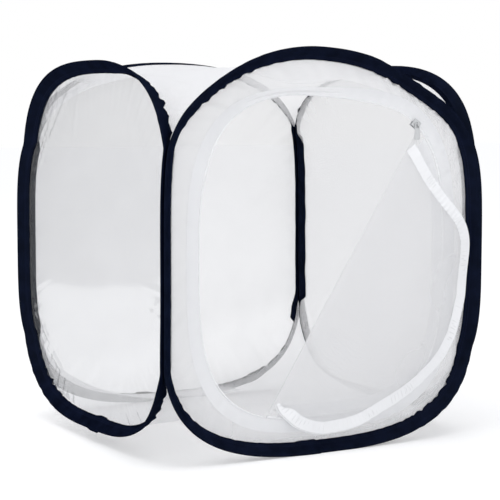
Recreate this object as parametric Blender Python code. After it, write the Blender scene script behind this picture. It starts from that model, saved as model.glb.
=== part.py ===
"""Pop-up insect cage: four sprung hoops in cloth casings, mesh and clear walls, and a zipped front door.

Metres, +Z up. The origin is on the ground under the cage's middle, and the door faces -Y.
The door is modelled as it hangs when it is half unzipped: its upper left part is folded down outside.
"""
import math

import bmesh
import bpy
from mathutils import Matrix, Vector

# Hoops. Half widths are those of the casing's middle line, and rise and drop are counted from the widest level.
FRONT_HALF_WIDTH = 0.180
FRONT_RISE = 0.2015
FRONT_DROP = 0.1855
SIDE_HALF_WIDTH = 0.170
SIDE_RISE = 0.194
SIDE_DROP = 0.1725
# Exponents of each outline: the first rounds the top or foot, the second straightens the upright sides.
FRONT_TOP_SHAPE = (2.2, 4.4)
FRONT_FOOT_SHAPE = (2.7, 4.6)
SIDE_TOP_SHAPE = (2.6, 4.8)
SIDE_FOOT_SHAPE = (3.2, 3.4)
# The hoops lean in by this much at the middle of their tops and feet, where the cloth pulls them.
MIDDLE_LEAN = 0.006

# Corner seams, where neighbouring casings are sewn side by side.
SEAM_RISE = 0.113
SEAM_DROP = 0.098
BACK_RIGHT_SEAM_RISE = 0.130
BACK_RIGHT_SEAM_DROP = 0.081
FRONT_PULL = 0.012
FRONT_RIGHT_PULL_SHARES = (0.30, 0.74, 1.0, 0.92, 0.55, 0.12, -0.18)
FRONT_LEFT_PULL_SHARES = (0.16, 0.36, 0.40, 0.20, -0.10, -0.32, -0.40)
SEAM_LEVEL_SHARES = (0.27, 0.54, 0.79, 1.0)
ARC_STATIONS = 7
# How far inside or outside the seam the walls fold, past the casing's edge at the seam's middle.
FOLD_LINE_INSET = 0.0115
FOLD_LINE_OUTSET = 0.001

# Casing: a folded tape, open towards its wall, that flares out at 45 degrees.
CASING_WIDTH = 0.015
CASING_TAPE = 0.0007
CASING_SLOT = 0.0018
JOIN_SWELL = 0.0008
CLEARANCE = 0.0003

# Spring hoop: flat steel wire whose ends meet in a crimped sleeve.
SPRING_WIDTH = 0.003
SPRING_THICKNESS = 0.0012
SPRING_END_GAP = 0.001
SLEEVE_WALL = 0.0005
SLEEVE_LENGTH = 0.018

# Cloth, mesh and clear sheet.
SHEET = 0.001
SHEET_TUCK = 0.006
SHEET_BEND = 0.0008
SHEET_ROW_SHARES = (0.7, 0.35)
COVER_DROP = 0.0003
COVER_STANDOFF = 0.0005
CUSP_INSET = 0.0015

# Door: a rounded square in the front wall, edged by the zip. Its margins are taken from the front hoop.
DOOR_SIDE_MARGIN = 0.037
DOOR_END_MARGIN = 0.038
DOOR_LOWERED = 0.006
DOOR_SHAPE = 3.2
DOOR_STEPS = 56
FOLD_HEAD_ANGLE = math.radians(49.3)
FOLD_FOOT_ANGLE = math.radians(-114.6)
FOLD_GAP = 0.0002

# Zip: tape, coil, slider and pull.
ZIP_TAPE_WIDTH = 0.013
ZIP_TAPE = 0.0008
ZIP_COIL_WIDTH = 0.0013
ZIP_COIL = 0.0018
ZIP_SEWN_EDGE = 0.005
SLIDER_ANGLE = math.radians(51.5)
SLIDER_LENGTH = 0.009
SLIDER_WIDTH = 0.008
SLIDER_PLATE = 0.001
SLIDER_POST_LENGTH = 0.002
SLIDER_POST_WIDTH = 0.0014
SLIDER_POST_OFFSET = 0.001
SLIDER_PLAY = 0.0004
LUG_WIDTH = 0.0044
LUG_BAR = 0.001
LUG_RISE = 0.002
PULL_LENGTH = 0.017
PULL_WIDTH = 0.0075
PULL_NECK = 0.0055
PULL_PLATE = 0.001
PULL_HOLE_HEIGHT = 0.0034
PULL_RIM = 0.0012
SLIDER_ARC_STEP = math.radians(9)

# Hanging door flap. Shares are of the door's half width, of the fold's length and of the flap's greatest depth.
FLAP_DEPTH_SHARE = 1.063
FLAP_EDGE_SHARES = (
    (0.060, 0.100), (0.092, 0.240), (0.120, 0.405), (0.150, 0.600), (0.190, 0.735),
    (0.235, 0.820), (0.290, 0.890), (0.350, 0.940), (0.420, 0.975), (0.500, 1.000),
    (0.580, 0.990), (0.650, 0.945), (0.720, 0.870), (0.790, 0.765), (0.850, 0.665),
    (0.900, 0.560), (0.940, 0.430), (0.962, 0.300), (0.968, 0.170),
)
FLAP_ROW_SHARES = (0.12, 0.3, 0.55, 0.8, 1.0)
FLAP_EDGE_CLEARANCE = 0.002
FLAP_TAPE_GAP = 0.0007
FLAP_SEAM = 0.003
FLAP_STAND = 0.0014
FLAP_STAND_SHARE = 0.1
FLAP_BULGE = 0.011
FLAP_RIPPLE = 0.0022
FLAP_RIPPLES = 3

NAVY = (0.012, 0.020, 0.055, 1.0)
WHITE_MESH = (0.90, 0.90, 0.90, 1.0)
WHITE_CLOTH = (0.93, 0.93, 0.94, 1.0)
CLEAR_SHEET = (0.86, 0.87, 0.88, 1.0)
SPRING_STEEL = (0.45, 0.46, 0.48, 1.0)
ZIP_WHITE = (0.88, 0.89, 0.91, 1.0)
PALE_METAL = (0.72, 0.73, 0.75, 1.0)

DOOR_HALF_WIDTH = FRONT_HALF_WIDTH - DOOR_SIDE_MARGIN
DOOR_HALF_HEIGHT = (FRONT_RISE + FRONT_DROP) / 2 - DOOR_END_MARGIN
DOOR_RAISE = (FRONT_RISE - FRONT_DROP) / 2 - DOOR_LOWERED
FLAP_DEPTH = DOOR_HALF_WIDTH * FLAP_DEPTH_SHARE
HALF_SHEET = SHEET / 2
HALF_SLOT = CASING_SLOT / 2
HALF_CASING = HALF_SLOT + CASING_TAPE
HALF_WIDTH = CASING_WIDTH / 2
ROOT_TWO = math.sqrt(2)
QUARTER_TURN = math.pi / 2
# Two casings sewn side by side at 45 degrees put their middle lines this far apart along X and along Y.
SEAM_STEP = (2 * HALF_CASING + CLEARANCE) / ROOT_TWO
# The sheets lie this far behind the plane of the casings' middle line.
SHEET_PLANE = -(HALF_WIDTH + SHEET_BEND) / ROOT_TWO


class Hoop:
    """The outline of one pair of hoops."""

    def __init__(self, half_width, rise, drop, top_shape, foot_shape):
        self.half_width = half_width
        self.rise = rise
        self.drop = drop
        self.top_shape = top_shape
        self.foot_shape = foot_shape

    def reach_and_shape(self, upward):
        if upward:
            return self.rise, self.top_shape
        return self.drop, self.foot_shape

    def drift(self, level):
        """How far the side has come in from its widest at this level."""
        reach, (across, along) = self.reach_and_shape(level >= 0)
        share = min(abs(level) / reach, 1)
        return self.half_width * (1 - (1 - share**along) ** (1 / across))


class Station:
    """One place along a hoop: across and level in the wall, lean into the cage, and the outline's outward direction."""

    def __init__(self, across, level, lean, outward, in_seam=False):
        self.across = across
        self.level = level
        self.lean = lean
        self.outward = outward
        self.in_seam = in_seam

    def mirrored(self):
        return Station(-self.across, self.level, self.lean, (-self.outward[0], self.outward[1]), self.in_seam)


class Wall:
    """One wall of the cage. Turns counts quarter turns from the front wall."""

    def __init__(self, name, hoop, neighbour, turns, join, pulls=(None, None)):
        self.name = name
        self.hoop = hoop
        self.neighbour = neighbour
        self.turn = Matrix.Rotation(turns * QUARTER_TURN, 3, "Z")
        self.stations = hoop_stations(hoop, neighbour, SEAMS[turns], SEAMS[turns - 1], pulls)
        self.join = join

    def point(self, across, level, out):
        """A point of the wall: out is counted from the plane of the casing's middle line."""
        distance = self.neighbour.half_width + SEAM_STEP + out
        return self.turn @ Vector((across, -distance, level + WIDEST_LEVEL))

    def at(self, station, outward, out):
        """A point beside a station: outward in the wall's plane, and out of the cage."""
        across = station.across + station.outward[0] * outward
        level = station.level + station.outward[1] * outward
        return self.point(across, level, out - station.lean)

    def on_fin(self, station, along, through):
        """A point of the casing's flared section: along its width, and through its thickness."""
        return self.at(station, (along - through) / ROOT_TWO, (along + through) / ROOT_TWO)


def ease(share):
    """A smooth step from 0 to 1."""
    return share * share * (3 - 2 * share)


def quarter_stations(hoop, neighbour, upward, seam, pull_shares=None):
    """Stations from the middle of a side to the middle of the top, or of the foot.

    Seam is the seam's rise and drop. The pull shares tell how far the cloth draws each station of the arc in.
    """
    sign = 1 if upward else -1
    seam_reach = seam[0] if upward else seam[1]
    reach, (across, along) = hoop.reach_and_shape(upward)
    stations = []
    for share in SEAM_LEVEL_SHARES:
        level = seam_reach * share * sign
        across_here = hoop.half_width - hoop.drift(level)
        stations.append(Station(across_here, level, neighbour.drift(level), (1, 0), share < 1))
    seam_lean = stations[-1].lean
    start = math.asin((seam_reach / reach) ** (along / 2))
    step = (QUARTER_TURN - start) / (ARC_STATIONS + 1 / 2)
    for count in range(1, ARC_STATIONS + 1):
        angle = start + step * count
        wide = math.cos(angle) ** (2 / across)
        high = math.sin(angle) ** (2 / along)
        slope = Vector((across / hoop.half_width * wide ** (across - 1), along / reach * high ** (along - 1)))
        slope.normalize()
        lean = seam_lean + (MIDDLE_LEAN - seam_lean) * ease(count / ARC_STATIONS)
        inward = FRONT_PULL * pull_shares[count - 1] if pull_shares else 0
        across_here = hoop.half_width * wide - slope.x * inward
        level = sign * (reach * high - slope.y * inward)
        stations.append(Station(across_here, level, lean, (slope.x, sign * slope.y)))
    return stations


def hoop_stations(hoop, neighbour, right_seam, left_seam, pulls=(None, None)):
    """All stations of a hoop, from the middle of one side over the top and round."""
    top = quarter_stations(hoop, neighbour, True, right_seam, pulls[0])
    foot = quarter_stations(hoop, neighbour, False, right_seam)
    left_top = quarter_stations(hoop, neighbour, True, left_seam, pulls[1])
    left_foot = quarter_stations(hoop, neighbour, False, left_seam)
    return (
        top
        + [station.mirrored() for station in reversed(left_top)]
        + [station.mirrored() for station in left_foot]
        + list(reversed(foot))
    )


def material(name, colour, roughness, metallic=0.0, alpha=1.0):
    made = bpy.data.materials.new(name)
    made.use_nodes = True
    made.diffuse_color = colour
    shader = made.node_tree.nodes["Principled BSDF"]
    shader.inputs["Base Color"].default_value = colour
    shader.inputs["Roughness"].default_value = roughness
    shader.inputs["Metallic"].default_value = metallic
    shader.inputs["Alpha"].default_value = alpha
    return made


def add_object(name, bm, finish, smooth=True):
    """Turns a bmesh into a closed object whose faces point out."""
    bmesh.ops.recalc_face_normals(bm, faces=bm.faces)
    mesh = bpy.data.meshes.new(name)
    bm.to_mesh(mesh)
    bm.free()
    mesh.materials.append(finish)
    if smooth:
        mesh.shade_smooth()
        mesh.set_sharp_from_angle(angle=math.radians(40))
    made = bpy.data.objects.new(name, mesh)
    bpy.context.collection.objects.link(made)
    return made


def swept(name, sections, finish, closed):
    """A solid through sections of equal corner count. Closed joins the last section to the first."""
    bm = bmesh.new()
    rings = [[bm.verts.new(corner) for corner in section] for section in sections]
    pairs = list(zip(rings, rings[1:]))
    if closed:
        pairs.append((rings[-1], rings[0]))
    for ring, following in pairs:
        for corner in range(len(ring)):
            beside = (corner + 1) % len(ring)
            bm.faces.new((ring[corner], ring[beside], following[beside], following[corner]))
    if not closed:
        bm.faces.new(rings[0])
        bm.faces.new(rings[-1])
    return add_object(name, bm, finish)


def between(first, second, share):
    return [one.lerp(other, share) for one, other in zip(first, second)]


def casing_section(wall, station, swell):
    """The folded tape's U, open at its inner end."""
    slot = HALF_SLOT + swell
    half = HALF_CASING + swell
    closed_end = HALF_WIDTH - CASING_TAPE * ROOT_TWO
    corners = (
        (-HALF_WIDTH, half),
        (HALF_WIDTH + half, half),
        (HALF_WIDTH - half, -half),
        (-HALF_WIDTH, -half),
        (-HALF_WIDTH, -slot),
        (closed_end - slot, -slot),
        (closed_end + slot, slot),
        (-HALF_WIDTH, slot),
    )
    return [wall.on_fin(station, along, through) for along, through in corners]


def casing(wall, finish):
    sections = []
    for index, station in enumerate(wall.stations):
        swell = JOIN_SWELL if index in (wall.join, wall.join + 1) else 0
        sections.append(casing_section(wall, station, swell))
    return swept(wall.name + "_casing", sections, finish, True)


def block_section(wall, station, outer_edge, width, thickness):
    """A rectangle in the casing's slot, from its outer edge inwards."""
    half = thickness / 2
    corners = (
        (outer_edge, half),
        (outer_edge, -half),
        (outer_edge - width, -half),
        (outer_edge - width, half),
    )
    return [wall.on_fin(station, along, through) for along, through in corners]


def spring_and_sleeve(wall, steel):
    """The wire hoop, and the sleeve over the meeting of its two ends."""
    sleeve_half = SPRING_THICKNESS / 2 + CLEARANCE + SLEEVE_WALL
    sleeve_edge = HALF_WIDTH - sleeve_half - (CASING_TAPE + CLEARANCE) * ROOT_TWO
    bore_edge = sleeve_edge - SLEEVE_WALL
    spring_edge = bore_edge - CLEARANCE
    bore_width = SPRING_WIDTH + 2 * CLEARANCE
    bore_thickness = SPRING_THICKNESS + 2 * CLEARANCE

    def along_join(outer_edge, width, thickness, distance):
        """The section this far along from the middle of the join."""
        first = wall.stations[wall.join]
        second = wall.stations[wall.join + 1]
        length = (wall.on_fin(second, 0, 0) - wall.on_fin(first, 0, 0)).length
        start = block_section(wall, first, outer_edge, width, thickness)
        end = block_section(wall, second, outer_edge, width, thickness)
        return between(start, end, 1 / 2 + distance / length)

    wire = [along_join(spring_edge, SPRING_WIDTH, SPRING_THICKNESS, SPRING_END_GAP / 2)]
    count = len(wall.stations)
    for step in range(count):
        station = wall.stations[(wall.join + 1 + step) % count]
        wire.append(block_section(wall, station, spring_edge, SPRING_WIDTH, SPRING_THICKNESS))
    wire.append(along_join(spring_edge, SPRING_WIDTH, SPRING_THICKNESS, -SPRING_END_GAP / 2))
    spring = swept(wall.name + "_spring", wire, steel, False)

    outer_width = bore_width + 2 * SLEEVE_WALL
    ends = [-SLEEVE_LENGTH / 2, SLEEVE_LENGTH / 2]
    outside = [along_join(sleeve_edge, outer_width, 2 * sleeve_half, end) for end in ends]
    inside = [along_join(bore_edge, bore_width, bore_thickness, end) for end in reversed(ends)]
    sleeve = swept(wall.name + "_spring_sleeve", outside + inside, steel, True)
    return [spring, sleeve]


def sheet_rim_rows(wall):
    """The tucked rim and the bend of a wall sheet, each as its outer and inner ring of points."""
    tuck = -HALF_WIDTH + SHEET_TUCK
    bend = -(HALF_WIDTH + SHEET_BEND) / ROOT_TWO
    mitre = HALF_SHEET * math.tan(math.pi / 8)
    rim = [[wall.on_fin(station, tuck, side * HALF_SHEET) for station in wall.stations] for side in (1, -1)]
    root = [
        [wall.at(station, bend - side * mitre, bend + side * HALF_SHEET) for station in wall.stations]
        for side in (1, -1)
    ]
    return [rim, root]


def inner_row(wall, share):
    """A ring of the sheet at this share of the way from its middle to its bend."""
    bend = -(HALF_WIDTH + SHEET_BEND) / ROOT_TWO
    row = []
    for side in (1, -1):
        ring = []
        for station in wall.stations:
            across = (station.across + station.outward[0] * bend) * share
            level = (station.level + station.outward[1] * bend) * share
            out = SHEET_PLANE - station.lean * share**2 + side * HALF_SHEET
            ring.append(wall.point(across, level, out))
        row.append(ring)
    return row


def stitch_rings(bm, outer, inner):
    """Faces between two rings of equal count."""
    count = len(outer)
    for index in range(count):
        beside = (index + 1) % count
        bm.faces.new((outer[index], outer[beside], inner[beside], inner[index]))


def sheet_solid(name, rows, centre, finish):
    """A closed sheet from rows of outer and inner rings. Centre is its pair of middle points, or None for a hole."""
    bm = bmesh.new()
    made = [[[bm.verts.new(point) for point in ring] for ring in row] for row in rows]
    for side in (0, 1):
        for row, following in zip(made, made[1:]):
            stitch_rings(bm, row[side], following[side])
    stitch_rings(bm, made[0][0], made[0][1])
    if centre is None:
        stitch_rings(bm, made[-1][0], made[-1][1])
    else:
        for side in (0, 1):
            hub = bm.verts.new(centre[side])
            ring = made[-1][side]
            for index, corner in enumerate(ring):
                bm.faces.new((corner, ring[(index + 1) % len(ring)], hub))
    return add_object(name, bm, finish)


def plain_wall_sheet(wall, name, finish):
    rows = sheet_rim_rows(wall) + [inner_row(wall, share) for share in SHEET_ROW_SHARES]
    centre = [wall.point(0, 0, SHEET_PLANE + side * HALF_SHEET) for side in (1, -1)]
    return sheet_solid(name, rows, centre, finish)


def door_corner(step, grow):
    """A corner of the door's many-sided outline, grown outwards by a width."""
    angle = 2 * math.pi * step / DOOR_STEPS
    wide = DOOR_HALF_WIDTH + grow
    high = DOOR_HALF_HEIGHT + grow
    cosine = math.cos(angle)
    sine = math.sin(angle)
    radius = (abs(cosine / wide) ** DOOR_SHAPE + abs(sine / high) ** DOOR_SHAPE) ** (-1 / DOOR_SHAPE)
    return Vector((radius * cosine, DOOR_RAISE + radius * sine))


def door_point(angle, grow):
    """A point on the door's outline in the front wall, grown outwards by a width."""
    steps = angle * DOOR_STEPS / (2 * math.pi)
    below = math.floor(steps)
    return door_corner(below, grow).lerp(door_corner(below + 1, grow), steps - below)


def front_sheet(wall, finish):
    """The front wall's mesh, a ring round the door."""
    edge = []
    for side in (1, -1):
        ring = []
        for station in wall.stations:
            angle = math.atan2(station.level - DOOR_RAISE, station.across)
            spot = door_point(angle, ZIP_SEWN_EDGE)
            ring.append(wall.point(spot.x, spot.y, SHEET_PLANE + side * HALF_SHEET))
        edge.append(ring)
    return sheet_solid("front_mesh", sheet_rim_rows(wall) + [edge], None, finish)


def arc_edge(wall, upward):
    """The line along which a top or floor cover meets this wall, from one corner to the other."""
    outward = -HALF_WIDTH / ROOT_TWO - COVER_DROP
    out = SHEET_PLANE - HALF_SHEET - CLEARANCE - COVER_STANDOFF
    chosen = [s for s in wall.stations if (s.level > 0) == upward and not s.in_seam]
    chosen.sort(key=lambda station: station.across)
    return [wall.at(station, outward, out) for station in chosen]


def cover_points(walls, upward):
    """A grid of points over the four arcs: a plan that joins them, and heights that follow the nearest."""
    front = arc_edge(walls["front"], upward)
    back = list(reversed(arc_edge(walls["back"], upward)))
    left = list(reversed(arc_edge(walls["left"], upward)))
    right = arc_edge(walls["right"], upward)
    last = len(front) - 1

    def corner(one, other):
        middle = (one + other) / 2
        inward = Vector((-math.copysign(CUSP_INSET, middle.x), -math.copysign(CUSP_INSET, middle.y), 0))
        return middle + inward

    front[0] = left[0] = corner(front[0], left[0])
    front[last] = right[0] = corner(front[last], right[0])
    back[0] = left[last] = corner(back[0], left[last])
    back[last] = right[last] = corner(back[last], right[last])

    def plan(i, j):
        u = i / last
        v = j / last
        spot = front[i] * (1 - v) + back[i] * v + left[j] * (1 - u) + right[j] * u
        spot -= (front[0] * (1 - u) + front[last] * u) * (1 - v)
        spot -= (back[0] * (1 - u) + back[last] * u) * v
        edges = (
            (abs(spot.y - front[i].y), front[i].z),
            (abs(spot.y - back[i].y), back[i].z),
            (abs(spot.x - left[j].x), left[j].z),
            (abs(spot.x - right[j].x), right[j].z),
        )
        weights = [1 / distance**2 for distance, _ in edges]
        height = sum(weight * edge[1] for weight, edge in zip(weights, edges)) / sum(weights)
        return Vector((spot.x, spot.y, height))

    grid = []
    for j in range(last + 1):
        row = []
        for i in range(last + 1):
            if j == 0:
                row.append(front[i])
            elif j == last:
                row.append(back[i])
            elif i == 0:
                row.append(left[j])
            elif i == last:
                row.append(right[j])
            else:
                row.append(plan(i, j))
        grid.append(row)
    return grid


def grid_solid(name, grid, thickness, finish):
    """A closed sheet of even thickness about a grid of points."""
    bm = bmesh.new()
    middle = [[bm.verts.new(point) for point in row] for row in grid]
    for row, following in zip(middle, middle[1:]):
        for index in range(len(row) - 1):
            bm.faces.new((row[index], row[index + 1], following[index + 1], following[index]))
    bm.normal_update()
    normals = [[vert.normal.copy() for vert in row] for row in middle]
    bm.free()
    sides = []
    for side in (thickness / 2, -thickness / 2):
        sides.append([[p + n * side for p, n in zip(row, along)] for row, along in zip(grid, normals)])
    return two_sided_solid(name, sides[0], sides[1], finish)


def two_sided_solid(name, upper, lower, finish):
    """A closed solid between two grids of points of equal size."""
    bm = bmesh.new()
    sides = [[[bm.verts.new(point) for point in row] for row in grid] for grid in (upper, lower)]
    for grid in sides:
        for row, following in zip(grid, grid[1:]):
            for index in range(len(row) - 1):
                bm.faces.new((row[index], row[index + 1], following[index + 1], following[index]))

    def border(grid):
        right = [row[-1] for row in grid[1:-1]]
        left = [row[0] for row in reversed(grid[1:-1])]
        return grid[0] + right + list(reversed(grid[-1])) + left

    stitch_rings(bm, border(sides[0]), border(sides[1]))
    return add_object(name, bm, finish)


def zip_layer():
    """Where zip tape lies in front of the wall's plane, as its back and front."""
    back = HALF_SHEET + CLEARANCE
    return back, back + ZIP_TAPE


def door_band(wall, name, grow, layer, angles, closed, finish):
    """A band along the door's outline, between two growths and two distances out."""
    sections = []
    for angle in angles:
        inner = door_point(angle, grow[0])
        outer = door_point(angle, grow[1])
        sections.append([
            wall.point(inner.x, inner.y, SHEET_PLANE + layer[0]),
            wall.point(outer.x, outer.y, SHEET_PLANE + layer[0]),
            wall.point(outer.x, outer.y, SHEET_PLANE + layer[1]),
            wall.point(inner.x, inner.y, SHEET_PLANE + layer[1]),
        ])
    return swept(name, sections, finish, closed)


def turns_between(start, end):
    """Two angles and the outline's corners between them."""
    step = 2 * math.pi / DOOR_STEPS
    corners = [step * count for count in range(math.ceil(start / step), math.floor(end / step) + 1)]
    return [start] + [turn for turn in corners if min(turn - start, end - turn) > step / DOOR_STEPS] + [end]


def angle_width(angle, length):
    """The angle that this length spans on the door's outline near an angle."""
    return length / door_point(angle, 0).length


def door_zip(wall, zip_white):
    """The frame's tape and open coil, and the closed coil and tape of the part still zipped."""
    back, front = zip_layer()
    coil_layer = (back, back + ZIP_COIL)
    beside_coil = ZIP_COIL_WIDTH + 2 * CLEARANCE
    half_slider = angle_width(SLIDER_ANGLE, SLIDER_LENGTH / 2)
    end_gap = angle_width(FOLD_FOOT_ANGLE, SLIDER_LENGTH)
    loop = turns_between(0, 2 * math.pi)[:-1]
    open_end = FOLD_FOOT_ANGLE + 2 * math.pi
    open_run = turns_between(SLIDER_ANGLE, open_end - end_gap)
    closed_run = turns_between(FOLD_FOOT_ANGLE, SLIDER_ANGLE - half_slider / 2)
    full_tape = (beside_coil, ZIP_TAPE_WIDTH)
    door_tape = (-ZIP_TAPE_WIDTH, -beside_coil)
    made = [
        door_band(wall, "zip_frame_tape", full_tape, (back, front), loop, True, zip_white),
        door_band(wall, "zip_frame_coil", (CLEARANCE, ZIP_COIL_WIDTH), coil_layer, open_run, False, zip_white),
        door_band(wall, "zip_closed_coil", (-ZIP_COIL_WIDTH, ZIP_COIL_WIDTH), coil_layer, closed_run, False, zip_white),
    ]
    tape_run = turns_between(
        FOLD_FOOT_ANGLE + angle_width(FOLD_FOOT_ANGLE, ZIP_TAPE_WIDTH),
        FOLD_HEAD_ANGLE - angle_width(FOLD_HEAD_ANGLE, ZIP_TAPE_WIDTH),
    )
    made.append(door_band(wall, "zip_door_tape", door_tape, (back, front), tape_run, False, zip_white))
    return made


def fold_frame():
    """The fold's head in the front wall, its direction towards the foot, and the direction of the hanging flap."""
    head = door_point(FOLD_HEAD_ANGLE, 0)
    foot = door_point(FOLD_FOOT_ANGLE, 0)
    along = (foot - head).normalized()
    return head, along, Vector((-along.y, along.x)), (foot - head).length


def fold_out():
    """How far the fold's axis lies in front of the sheets' plane."""
    back, front = zip_layer()
    coil_front = back + ZIP_COIL
    return (coil_front + CLEARANCE + front) / 2


def door_lower(wall, finish):
    """The part of the door that is still zipped, below the fold."""
    head, along, _, length = fold_frame()
    below = Vector((-along.y, along.x)) * FOLD_GAP
    corners = []
    for angle in turns_between(FOLD_FOOT_ANGLE, FOLD_HEAD_ANGLE):
        spot = door_point(angle, -ZIP_SEWN_EDGE)
        if (spot - head).dot(below) > FOLD_GAP**2:
            corners.append(spot)
    for spot in (head, head + along * length):
        nearest = corners[-1] if spot is head else corners[0]
        reach = (nearest - head).dot(along)
        corner = head + along * reach + below
        if spot is head:
            corners.append(corner)
        else:
            corners.insert(0, corner)
    sections = []
    for side in (1, -1):
        sections.append([wall.point(spot.x, spot.y, SHEET_PLANE + side * HALF_SHEET) for spot in corners])
    return swept("door_lower_mesh", sections, finish, False)


def door_depth(distance):
    """How far the open part of the door reaches from the fold, at this distance along it."""
    head, along, hang, _ = fold_frame()
    start = head + along * distance
    low = 0
    high = DOOR_HALF_WIDTH + DOOR_HALF_HEIGHT
    for _ in range(30):
        middle = (low + high) / 2
        spot = start - hang * middle
        angle = math.atan2(spot.y - DOOR_RAISE, spot.x)
        inside = (spot - Vector((0, DOOR_RAISE))).length < (door_point(angle, 0) - Vector((0, DOOR_RAISE))).length
        if inside:
            low = middle
        else:
            high = middle
    return low


def flap_edge():
    """The flap's free edge as distances along the fold and away from it."""
    _, _, _, length = fold_frame()
    edge = []
    for along_share, depth_share in FLAP_EDGE_SHARES:
        distance = along_share * length
        depth = min(depth_share * FLAP_DEPTH, door_depth(distance) - FLAP_EDGE_CLEARANCE)
        edge.append(Vector((distance, depth)))
    return edge


def inset(edge, width):
    """The edge moved in by a width."""
    moved = []
    for index, spot in enumerate(edge):
        before = edge[max(index - 1, 0)]
        after = edge[min(index + 1, len(edge) - 1)]
        run = (after - before).normalized()
        moved.append(spot + Vector((run.y, -run.x)) * width)
    return moved


def flap_lift(spot):
    """How far the hanging cloth stands off: its thick edge, a round fold along the hinge, and ripples."""
    _, _, _, length = fold_frame()
    along = spot.x / length
    down = spot.y / FLAP_DEPTH
    stand = FLAP_STAND * ease(min(down / FLAP_STAND_SHARE, 1))
    bulge = FLAP_BULGE * math.sin(math.pi * min(down, 1)) ** 2 * math.sin(math.pi * along)
    ripple = FLAP_RIPPLE * down * (1 - math.cos(2 * math.pi * FLAP_RIPPLES * along))
    return stand + bulge + ripple


def flap_point(wall, spot, out):
    """A point of the flap, from its place in the fold's frame and its distance out of the wall's plane."""
    head, along, hang, _ = fold_frame()
    place = head + along * spot.x + hang * spot.y
    return wall.point(place.x, place.y, SHEET_PLANE + out + flap_lift(spot))


def flap_band(wall, name, insets, layer, finish):
    """A band along the flap's free edge, between two insets and two distances out."""
    outer = inset(flap_edge(), insets[0])
    inner = inset(flap_edge(), insets[1])
    sections = []
    for near, far in zip(outer, inner):
        sections.append([
            flap_point(wall, near, layer[0]),
            flap_point(wall, far, layer[0]),
            flap_point(wall, far, layer[1]),
            flap_point(wall, near, layer[1]),
        ])
    return swept(name, sections, finish, False)


def door_flap(wall, mesh_white, zip_white):
    """The unzipped part of the door, hanging outside from its fold, with its tape and coil behind it."""
    back, front = zip_layer()
    tape_layer = (2 * fold_out() - front, 2 * fold_out() - back)
    coil_layer = (2 * fold_out() - back - ZIP_COIL, tape_layer[1])
    cloth = tape_layer[1] + FLAP_TAPE_GAP + HALF_SHEET
    roll = fold_out() - HALF_SHEET - CLEARANCE
    free = inset(flap_edge(), ZIP_TAPE_WIDTH - FLAP_SEAM)
    first = free[0].x
    last = free[-1].x
    grids = []
    for side in (1, -1):
        grid = []
        for index, spot in enumerate(free):
            start = Vector((first + (last - first) * index / (len(free) - 1), 0))
            row = [flap_point(wall, start, fold_out() + side * roll)]
            for share in FLAP_ROW_SHARES:
                row.append(flap_point(wall, start.lerp(spot, share), cloth + side * HALF_SHEET))
            grid.append(row)
        grids.append(grid)
    beside_coil = ZIP_COIL_WIDTH + CLEARANCE
    return [
        two_sided_solid("door_flap_mesh", grids[0], grids[1], mesh_white),
        flap_band(wall, "door_flap_tape", (beside_coil, ZIP_TAPE_WIDTH), tape_layer, zip_white),
        flap_band(wall, "door_flap_coil", (0, ZIP_COIL_WIDTH), coil_layer, zip_white),
    ]


def add_block(name, low, high, place, finish):
    """A box between two corners in a local frame."""
    bm = bmesh.new()
    bmesh.ops.create_cube(bm, size=1)
    size = Vector(high) - Vector(low)
    middle = (Vector(high) + Vector(low)) / 2
    bmesh.ops.scale(bm, vec=size, verts=bm.verts)
    bmesh.ops.translate(bm, vec=middle, verts=bm.verts)
    bmesh.ops.transform(bm, matrix=place, verts=bm.verts)
    return add_object(name, bm, finish, smooth=False)


def combine(body, tool, operation):
    """Adds a Boolean to a body. The tool stays as a hidden guide."""
    tool.hide_render = True
    tool.hide_set(True)
    tool.display_type = "WIRE"
    modifier = body.modifiers.new(operation.lower(), "BOOLEAN")
    modifier.operation = operation
    modifier.solver = "EXACT"
    modifier.object = tool


def track_circle():
    """Centre of the circle that the zip's track follows beside the slider."""
    first = door_point(SLIDER_ANGLE, 0)
    second = door_point(SLIDER_ANGLE + SLIDER_ARC_STEP, 0)
    third = door_point(SLIDER_ANGLE + 2 * SLIDER_ARC_STEP, 0)
    first_turn = second - first
    second_turn = third - second
    rhs = Vector((second.length_squared - first.length_squared, third.length_squared - second.length_squared)) / 2
    turn = first_turn.x * second_turn.y - first_turn.y * second_turn.x
    return Vector((
        (rhs.x * second_turn.y - first_turn.y * rhs.y) / turn,
        (first_turn.x * rhs.y - rhs.x * second_turn.x) / turn,
    ))


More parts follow.
